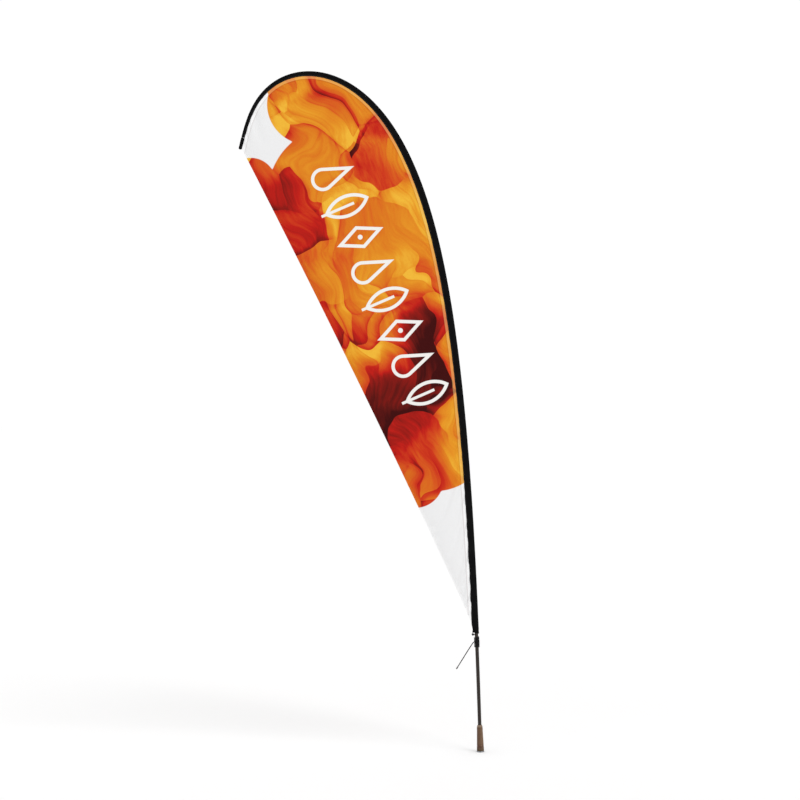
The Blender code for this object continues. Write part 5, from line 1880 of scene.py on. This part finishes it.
@dataclass
class Socket:
    """The brown turning socket with its nylon bush, the ring and spacer in it, and the pad under the pole."""

    levels: Levels
    low_radius: float = 0.018
    top_radius: float = 0.014
    groove_height: float = 0.031
    groove_deep: float = 0.0007
    bush_deep: float = 0.010
    bush_wall: float = 0.0019
    rim: float = 0.0016
    clip_groove: float = 0.0009

    def wall(self, height: Array) -> Array:
        """Outer radius at a height: an even taper, a shallow groove low down and a raised collar under the
        bush."""
        levels = self.levels
        share = (height - levels.housing_low) / (levels.housing_top - levels.housing_low)
        plain = self.low_radius + (self.top_radius - self.low_radius) * share
        groove = self.groove_deep * np.exp(-(((height - self.groove_height) / 0.0016) ** 4))
        shoulder = 0.00045 * ease((height - levels.housing_top + 0.014) / 0.001)
        return plain - groove + shoulder

    def build(self) -> None:
        """Housing, bush, spacer, ring and pad."""
        levels, fit = self.levels, FIT
        heights = np.linspace(levels.housing_low + 0.0009, levels.housing_top - 0.0007, 150)
        skin_line = list(zip(self.wall(heights).tolist(), heights.tolist()))
        bore, seat = levels.race_outer + fit, levels.bore + self.bush_wall + fit
        bush_low = levels.housing_top - self.bush_deep - fit
        clip_low, clip_high = levels.housing_clip - fit, levels.housing_clip + levels.clip + fit
        shoulder = levels.upper_bearing + levels.race_width + fit
        top, low, hole = levels.housing_top, levels.housing_low, levels.bore
        web_low, web_top, groove = levels.web_low, levels.web_top, bore + self.clip_groove
        inside: Points = [
            (self.top_radius - 0.0004, top), (seat + 0.0003, top), (seat, top - 0.0004), (seat, bush_low),
            (hole + 0.0003, bush_low), (hole, bush_low - 0.0004), (hole, web_top + 0.0008),
            (hole - 0.0008, web_top), (0.0, web_top),
        ]
        below: Points = [
            *[
                (0.0, web_low),
                (0.0097, web_low),
                (0.0105, web_low - 0.0008),
                (0.0105, shoulder),
                (bore, shoulder),
            ],
            (bore, clip_high), (groove, clip_high), (groove, clip_low), (bore, clip_low),
            (bore, low + 0.0006), (bore + 0.0006, low), (self.low_radius - 0.0008, low),
        ]
        self.build_housing(skin_line, inside, below)
        profile = [
            (hole, bush_low + fit), (seat - fit, bush_low + fit), (seat - fit, top + fit),
            (self.top_radius + 0.0002, top + fit), (self.top_radius, top + 0.0022),
            (hole + self.rim, levels.mouth), (hole, levels.mouth),
        ]
        dress(turned("nylon_bush", rounded(profile, 0.0007, 4)), NYLON, Body.SOCKET, ("mouth_bush",))
        outer, high = levels.race_outer, levels.upper_bearing - fit
        ring = plain_ring(outer - 0.002, outer, levels.spacer_low, high)
        dress(turned("race_spacer", ring), ZINC, Body.SOCKET, ("outer_spacer",))
        clip = open_ring(
            "housing_ring", groove - fit - 0.002, groove - fit, levels.housing_clip, levels.clip, 1
        )
        dress(clip, RACE_STEEL, Body.SOCKET, ("housing_circlip",))
        low, high = levels.pad_low, levels.pad_low + 0.003
        pad = [(0, low), (0.009, low), (0.0086, (low + high) / 2), (0.009, high), (0, high)]
        piece = turned("foot_pad", rounded(pad, 0.0006, 3, loop=False), 48)
        dress(piece, RUBBER, Body.SOCKET, ("buffer_pad",))

    def build_housing(self, outer: Points, inside: Points, below: Points) -> None:
        """Turns the housing: its outer wall up, the pole's bore down to the web, then from the web down and
        out.

        The profile crosses the axis at the web twice, so the two halves of the loop each end in a fan there.
        """
        piece = turned("socket_body", np.vstack([below, outer, inside]), 96)
        dress(piece, SOCKET, Body.SOCKET, ("socket_housing",))


def plain_ring(inner: float, outer: float, low: float, high: float, edge: float = 0.0003) -> Array:
    """Profile of a ring with rounded edges."""
    return rounded([(inner, low), (outer, low), (outer, high), (inner, high)], edge, 3)


def open_ring(name: str, inner: float, outer: float, low: float, thick: float, eyes: int) -> bpy.types.Object:
    """Retaining ring: an open flat ring, widest opposite its gap, with a pierced eye at each end.

    The band's own width goes from 0.55 of the ring's at the gap to all of it opposite. Eyes are short tubes.

    Args:
        name: The piece's name.
        inner: Inner radius.
        outer: Outer radius.
        low: Lower face.
        thick: Thickness.
        eyes: 1 if the eyes stand inside the ring, -1 if outside.

    Returns:
        The piece.
    """
    angle = np.radians(np.linspace(14, 346, 140))
    share = 0.62 + 0.38 * np.sin((angle - np.radians(14)) / np.radians(332) * math.pi) ** 0.8
    width = (outer - inner) * share
    if eyes > 0:
        near, far = outer - width, np.full_like(width, outer)
    else:
        near, far = np.full_like(width, inner), inner + width
    edge = 0.00012
    corners = [(0, edge), (edge, 0), (1, 0), (2, edge)]
    corners += [(place, thick - height) for place, height in reversed(corners)]
    rows = []
    for place, height in corners:
        radius = near + edge * (place == edge) if place < 1 else far - edge * (place == 1)
        rows.append(zipped(radius * np.cos(angle), radius * np.sin(angle), low + height))
    band = np.stack(rows, axis=1)
    skin = Skin().solid(band, band[[0, -1]].mean(1))
    middle = (inner + outer) / 2
    turn = circle(24)
    for side in (-1, 1):
        at = np.radians(side * 17)
        spot = middle * np.array([math.cos(at), math.sin(at)])
        loop = plain_ring(0.0004, 0.0009, low, low + thick, 0.0001)
        x, y = spot[0] + loop[:, :1] * np.cos(turn), spot[1] + loop[:, :1] * np.sin(turn)
        skin.grid(zipped(x, y, loop[:, 1:]), rows_close=True)
    return skin.built(name)


@dataclass
class Bearing:
    """One ball bearing: ground races with ball grooves, polished balls and a pierced brass cage."""

    levels: Levels
    name: str
    low: float
    pitch: float = 0.0102
    ball: float = 0.0022
    count: int = 7
    land: float = 0.0016
    cage_wall: float = 0.0012
    cage_height: float = 0.0062

    def race(self, facing: int) -> Array:
        """Profile of a race: a ring whose face has a groove, an arc a little wider than the ball."""
        middle, high = self.low + self.levels.race_width / 2, self.low + self.levels.race_width
        deep = self.ball + FIT
        half = math.acos(self.land / deep)
        turn = np.linspace(-half, half, 20)
        groove = zipped(self.pitch + facing * deep * np.cos(turn), middle + deep * np.sin(turn))
        back = self.levels.race_outer if facing > 0 else self.levels.spindle + FIT
        land = self.pitch + facing * self.land
        edge = 0.0003 * facing
        low = self.low
        ends = [[back, low + 0.0003], [back - edge, low], [land + edge, low], [land, low + 0.0003]]
        tops = [[land, high - 0.0003], [land + edge, high], [back - edge, high], [back, high - 0.0003]]
        return np.vstack([ends, groove, tops])

    def build(self) -> None:
        """Races, balls and cage."""
        for side, facing, body in (("inner", -1, Body.SPIKE), ("outer", 1, Body.SOCKET)):
            piece = turned(f"{self.name}_{side}_ring", self.race(facing))
            dress(piece, RACE_STEEL, body, (f"{self.name}_{side}_race",))
        middle = self.low + self.levels.race_width / 2
        q = np.linspace(0, math.pi, 19)
        profile = zipped(self.ball * np.sin(q), middle - self.ball * np.cos(q))
        profile[[0, -1], 0] = 0.0
        for number in range(self.count):
            turn = FULL * number / self.count
            spot = (self.pitch * math.cos(turn), self.pitch * math.sin(turn))
            piece = turned(f"{self.name}_steel_ball_{number + 1}", profile, 28, spot)
            dress(piece, RACE_STEEL, Body.BALLS, (f"{self.name}_ball_{number + 1}",))
        self.build_cage(middle)

    def build_cage(self, middle: float) -> None:
        """Cage: two waved brass rings, which part round each ball and meet between balls.

        A ring's middle line is at the pitch radius, at height h either side of the middle. h is the window's
        reach over a ball and 0.45 mm between balls, by a cosine of the angle squeezed to the power 1.6.
        """
        skin = Skin()
        angle = circle(210)
        near_ball = ((1 + np.cos(self.count * angle)) / 2) ** 1.6
        half_wall, strap = self.cage_wall / 2, 0.00042
        centre = 0.00045 + (self.cage_height / 2 - strap - 0.00045) * near_ball
        q = circle(16)
        for side in (-1, 1):
            radius = self.pitch + half_wall * boxed(np.cos(q), 0.5)
            height = middle + side * centre[:, None] + strap * boxed(np.sin(q), 0.5)
            x, y = radius * np.cos(angle)[:, None], radius * np.sin(angle)[:, None]
            skin.grid(zipped(x, y, height), rows_close=True)
        dress(skin.built(f"{self.name}_waved_cage"), BRASS, Body.BALLS, (f"{self.name}_ball_cage",))


@dataclass
class GroundSpike:
    """The zinc-coated spike: pointed shaft with its spindle, drive flange, four fins, seal and rings."""

    levels: Levels
    length: float = 0.50
    point: float = 0.075
    flange_radius: float = 0.019
    fin_reach: float = 0.030
    fin_thick: float = 0.003
    fin_top: float = 0.035
    fin_height: float = 0.12
    seal_radius: float = 0.0135

    def build(self) -> None:
        """Shaft, flange, fins and the small rings on the spindle."""
        levels, fit = self.levels, FIT
        shoulder, groove = levels.lower_bearing - fit, levels.spindle - 0.0009
        clip_low, clip_high = levels.spindle_clip - fit, levels.spindle_clip + levels.clip + fit
        tip = [(0.0, -self.length), (0.0011, -self.length + 0.002), (levels.spike, self.point - self.length)]
        spindle, end = levels.spindle, levels.spindle_top
        top = [
            (levels.spike, shoulder), (spindle, shoulder), (spindle, clip_low), (groove, clip_low),
            *[
                (groove, clip_high),
                (spindle, clip_high),
                (spindle, end - 0.0008),
                (spindle - 0.0008, end),
                (0.0, end),
            ],
        ]
        piece = turned("spike_body", rounded([*tip, *top], 0.0004, 3, loop=False), 64)
        dress(piece, ZINC, Body.SPIKE, ("spike_shaft",))
        hole, high = levels.spike + fit, levels.flange_top
        rim = self.flange_radius
        ring = rounded([(hole, 0), (rim, 0), (rim, high), (hole, high)], 0.0012, 5)
        dress(turned("foot_flange", ring), ZINC, Body.SPIKE, ("drive_flange",))
        edge, top = self.seal_radius, levels.seal_top
        lip = [
            (hole, high + fit), (edge, high + fit), (edge, top - 0.0008), (edge - 0.002, top - 0.0008),
            (edge - 0.0026, top), (hole, top),
        ]
        dress(turned("wiper_seal", rounded(lip, 0.0004, 3)), RUBBER, Body.SPIKE, ("dust_seal",))
        bore = levels.spindle + fit
        spacer = plain_ring(bore, bore + 0.002, levels.spacer_low, levels.upper_bearing - fit)
        dress(turned("spindle_spacer", spacer), ZINC, Body.SPIKE, ("inner_spacer",))
        washer = plain_ring(bore, 0.0088, levels.washer_low, levels.washer_low + 0.001, 0.0002)
        dress(turned("thrust_washer", washer), ZINC, Body.SPIKE, ("spindle_washer",))
        seat = groove + fit
        clip = open_ring("spindle_ring", seat, seat + 0.0031, levels.spindle_clip, levels.clip, -1)
        dress(clip, RACE_STEEL, Body.SPIKE, ("spindle_circlip",))
        for number in range(4):
            self.build_fin(number)

    def build_fin(self, number: int) -> None:
        """One welded fin: a plate with rounded edges, its lower corner cut away, and a rippled weld down each
        side.

        The weld's radius is 1.5 mm with a ripple of 0.2 mm every 2.2 mm, carried down the corner of fin and
        shaft.
        """
        inner, top, low = self.levels.spike + FIT, -self.fin_top, -self.fin_top - self.fin_height
        reach, cut = self.fin_reach, 0.010
        corners = [
            (inner, low),
            (reach, low + self.fin_height * 0.6),
            (reach, top - cut),
            (reach - cut, top),
            (inner, top),
        ]
        rings, middles = slab(rounded(corners, 0.003, 6), self.fin_thick, 0.0006)
        turn = math.radians(45) + FULL * number / 4
        out = np.array([math.cos(turn), math.sin(turn), 0])
        side = np.array([-math.sin(turn), math.cos(turn), 0])
        up = np.array([0.0, 0.0, 1.0])

        def placed(points: Array) -> Array:
            """Plate's own (across, up, through) carried to the fin's place."""
            return points[..., :1] * out + points[..., 1:2] * up + points[..., 2:] * side

        skin = Skin().solid(placed(rings), placed(middles))
        s = np.linspace(low + 0.004, top - 0.004, 200)
        for face in (-1, 1):
            seat = (self.levels.spike - 0.0002) * out + face * self.fin_thick / 2 * side
            path = seat + s[:, None] * up
            bead = carried(path, 0.0015, out, 14, None)
            ripple = 1 + 0.13 * np.sin(FULL * bead.points[0][:, 2:] / 0.0022)
            core = np.repeat(path, 14, axis=0)
            bead.points[0] = (bead.points[0] - core) * ripple + core
            skin.faces += [rows + skin.count for rows in bead.faces]
            skin.points += bead.points
            skin.flats += bead.flats
            skin.count += bead.count
        dress(skin.built(f"welded_fin_{number + 1}"), ZINC, Body.SPIKE, (f"spike_fin_{number + 1}",))


# ---------------------------------------------------------------- studio
@dataclass
class Studio:
    """Camera, pale floor and soft light."""

    middle: tuple[float, float] = (-0.3475, 1.771)
    distance: float = 10.0
    lens: float = 90.0
    roll: float = math.radians(1.79)
    floor_half: float = 200.0
    sun: float = 0.85

    def build_camera(self) -> None:
        """Camera level with the flag's middle, looking along +Y, rolled a little clockwise."""
        data = bpy.data.cameras.new("front_camera")
        data.lens, data.sensor_width = self.lens, 36.0
        data.clip_end = 400.0
        camera = bpy.data.objects.new("front_camera", data)
        bpy.context.scene.collection.objects.link(camera)
        camera.matrix_world = (
            Matrix.Translation((self.middle[0], -self.distance, self.middle[1]))
            @ Matrix.Rotation(math.radians(90), 4, "X")
            @ Matrix.Rotation(-self.roll, 4, "Z")
        )
        bpy.context.scene.camera = camera

    def build_floor(self) -> None:
        """Wide floor at the ground's height."""
        half = self.floor_half
        corners = [(-half, -half, 0), (half, -half, 0), (half, half, 0), (-half, half, 0)]
        mesh = bpy.data.meshes.new("floor")
        mesh.from_pydata(corners, [], [(0, 1, 2, 3)])
        floor = bpy.data.objects.new("floor", mesh)
        mesh.materials.append(FLOOR.material())
        bpy.context.scene.collection.objects.link(floor)

    def build_light(self) -> None:
        """White surroundings, a little dimmer as light than as background, and a wide soft sun from the front
        right."""
        world = bpy.data.worlds.new("studio")
        world.use_nodes = True
        nodes, links = world.node_tree.nodes, world.node_tree.links
        seen, strength = nodes.new("ShaderNodeLightPath"), nodes.new("ShaderNodeMapRange")
        strength.inputs["To Min"].default_value, strength.inputs["To Max"].default_value = 0.86, 1.02
        links.new(seen.outputs["Is Camera Ray"], strength.inputs["Value"])
        links.new(strength.outputs[0], nodes["Background"].inputs["Strength"])
        nodes["Background"].inputs["Color"].default_value = (1.0, 1.0, 1.0, 1.0)
        bpy.context.scene.world = world
        bpy.context.scene.view_settings.view_transform = "Standard"
        data = bpy.data.lights.new("key", "SUN")
        data.energy, data.angle = self.sun, math.radians(25)
        key = bpy.data.objects.new("key", data)
        key.rotation_euler = (math.radians(42), 0, math.radians(38))
        bpy.context.scene.collection.objects.link(key)


def main() -> None:
    """Builds the studio and the flag, from the camera and the cord to the small parts in the socket."""
    logging.basicConfig(level=logging.INFO, format="%(name)s: %(message)s")
    studio = Studio()
    studio.build_camera()
    line = PoleLine()
    shape = PocketShape(line)
    cord = TieCord(line, shape)
    cord.build_tail()
    cord.build_wraps()
    cord.build_knot()
    cord.build_tab()
    pocket = PolePocket(line, shape)
    pocket.build_pocket()
    pocket.build_cuff()
    pocket.build_tip()
    pocket.build_stitches()
    flag = Flag(line, shape)
    flag.declare(flag.build_panel(), flag.build_hem(), flag.build_stitches())
    Pole(line).build()
    levels = Levels()
    Socket(levels).build()
    Bearing(levels, "lower", levels.lower_bearing).build()
    Bearing(levels, "upper", levels.upper_bearing).build()
    GroundSpike(levels).build()
    studio.build_floor()
    studio.build_light()


if __name__ == "__main__":
    main()
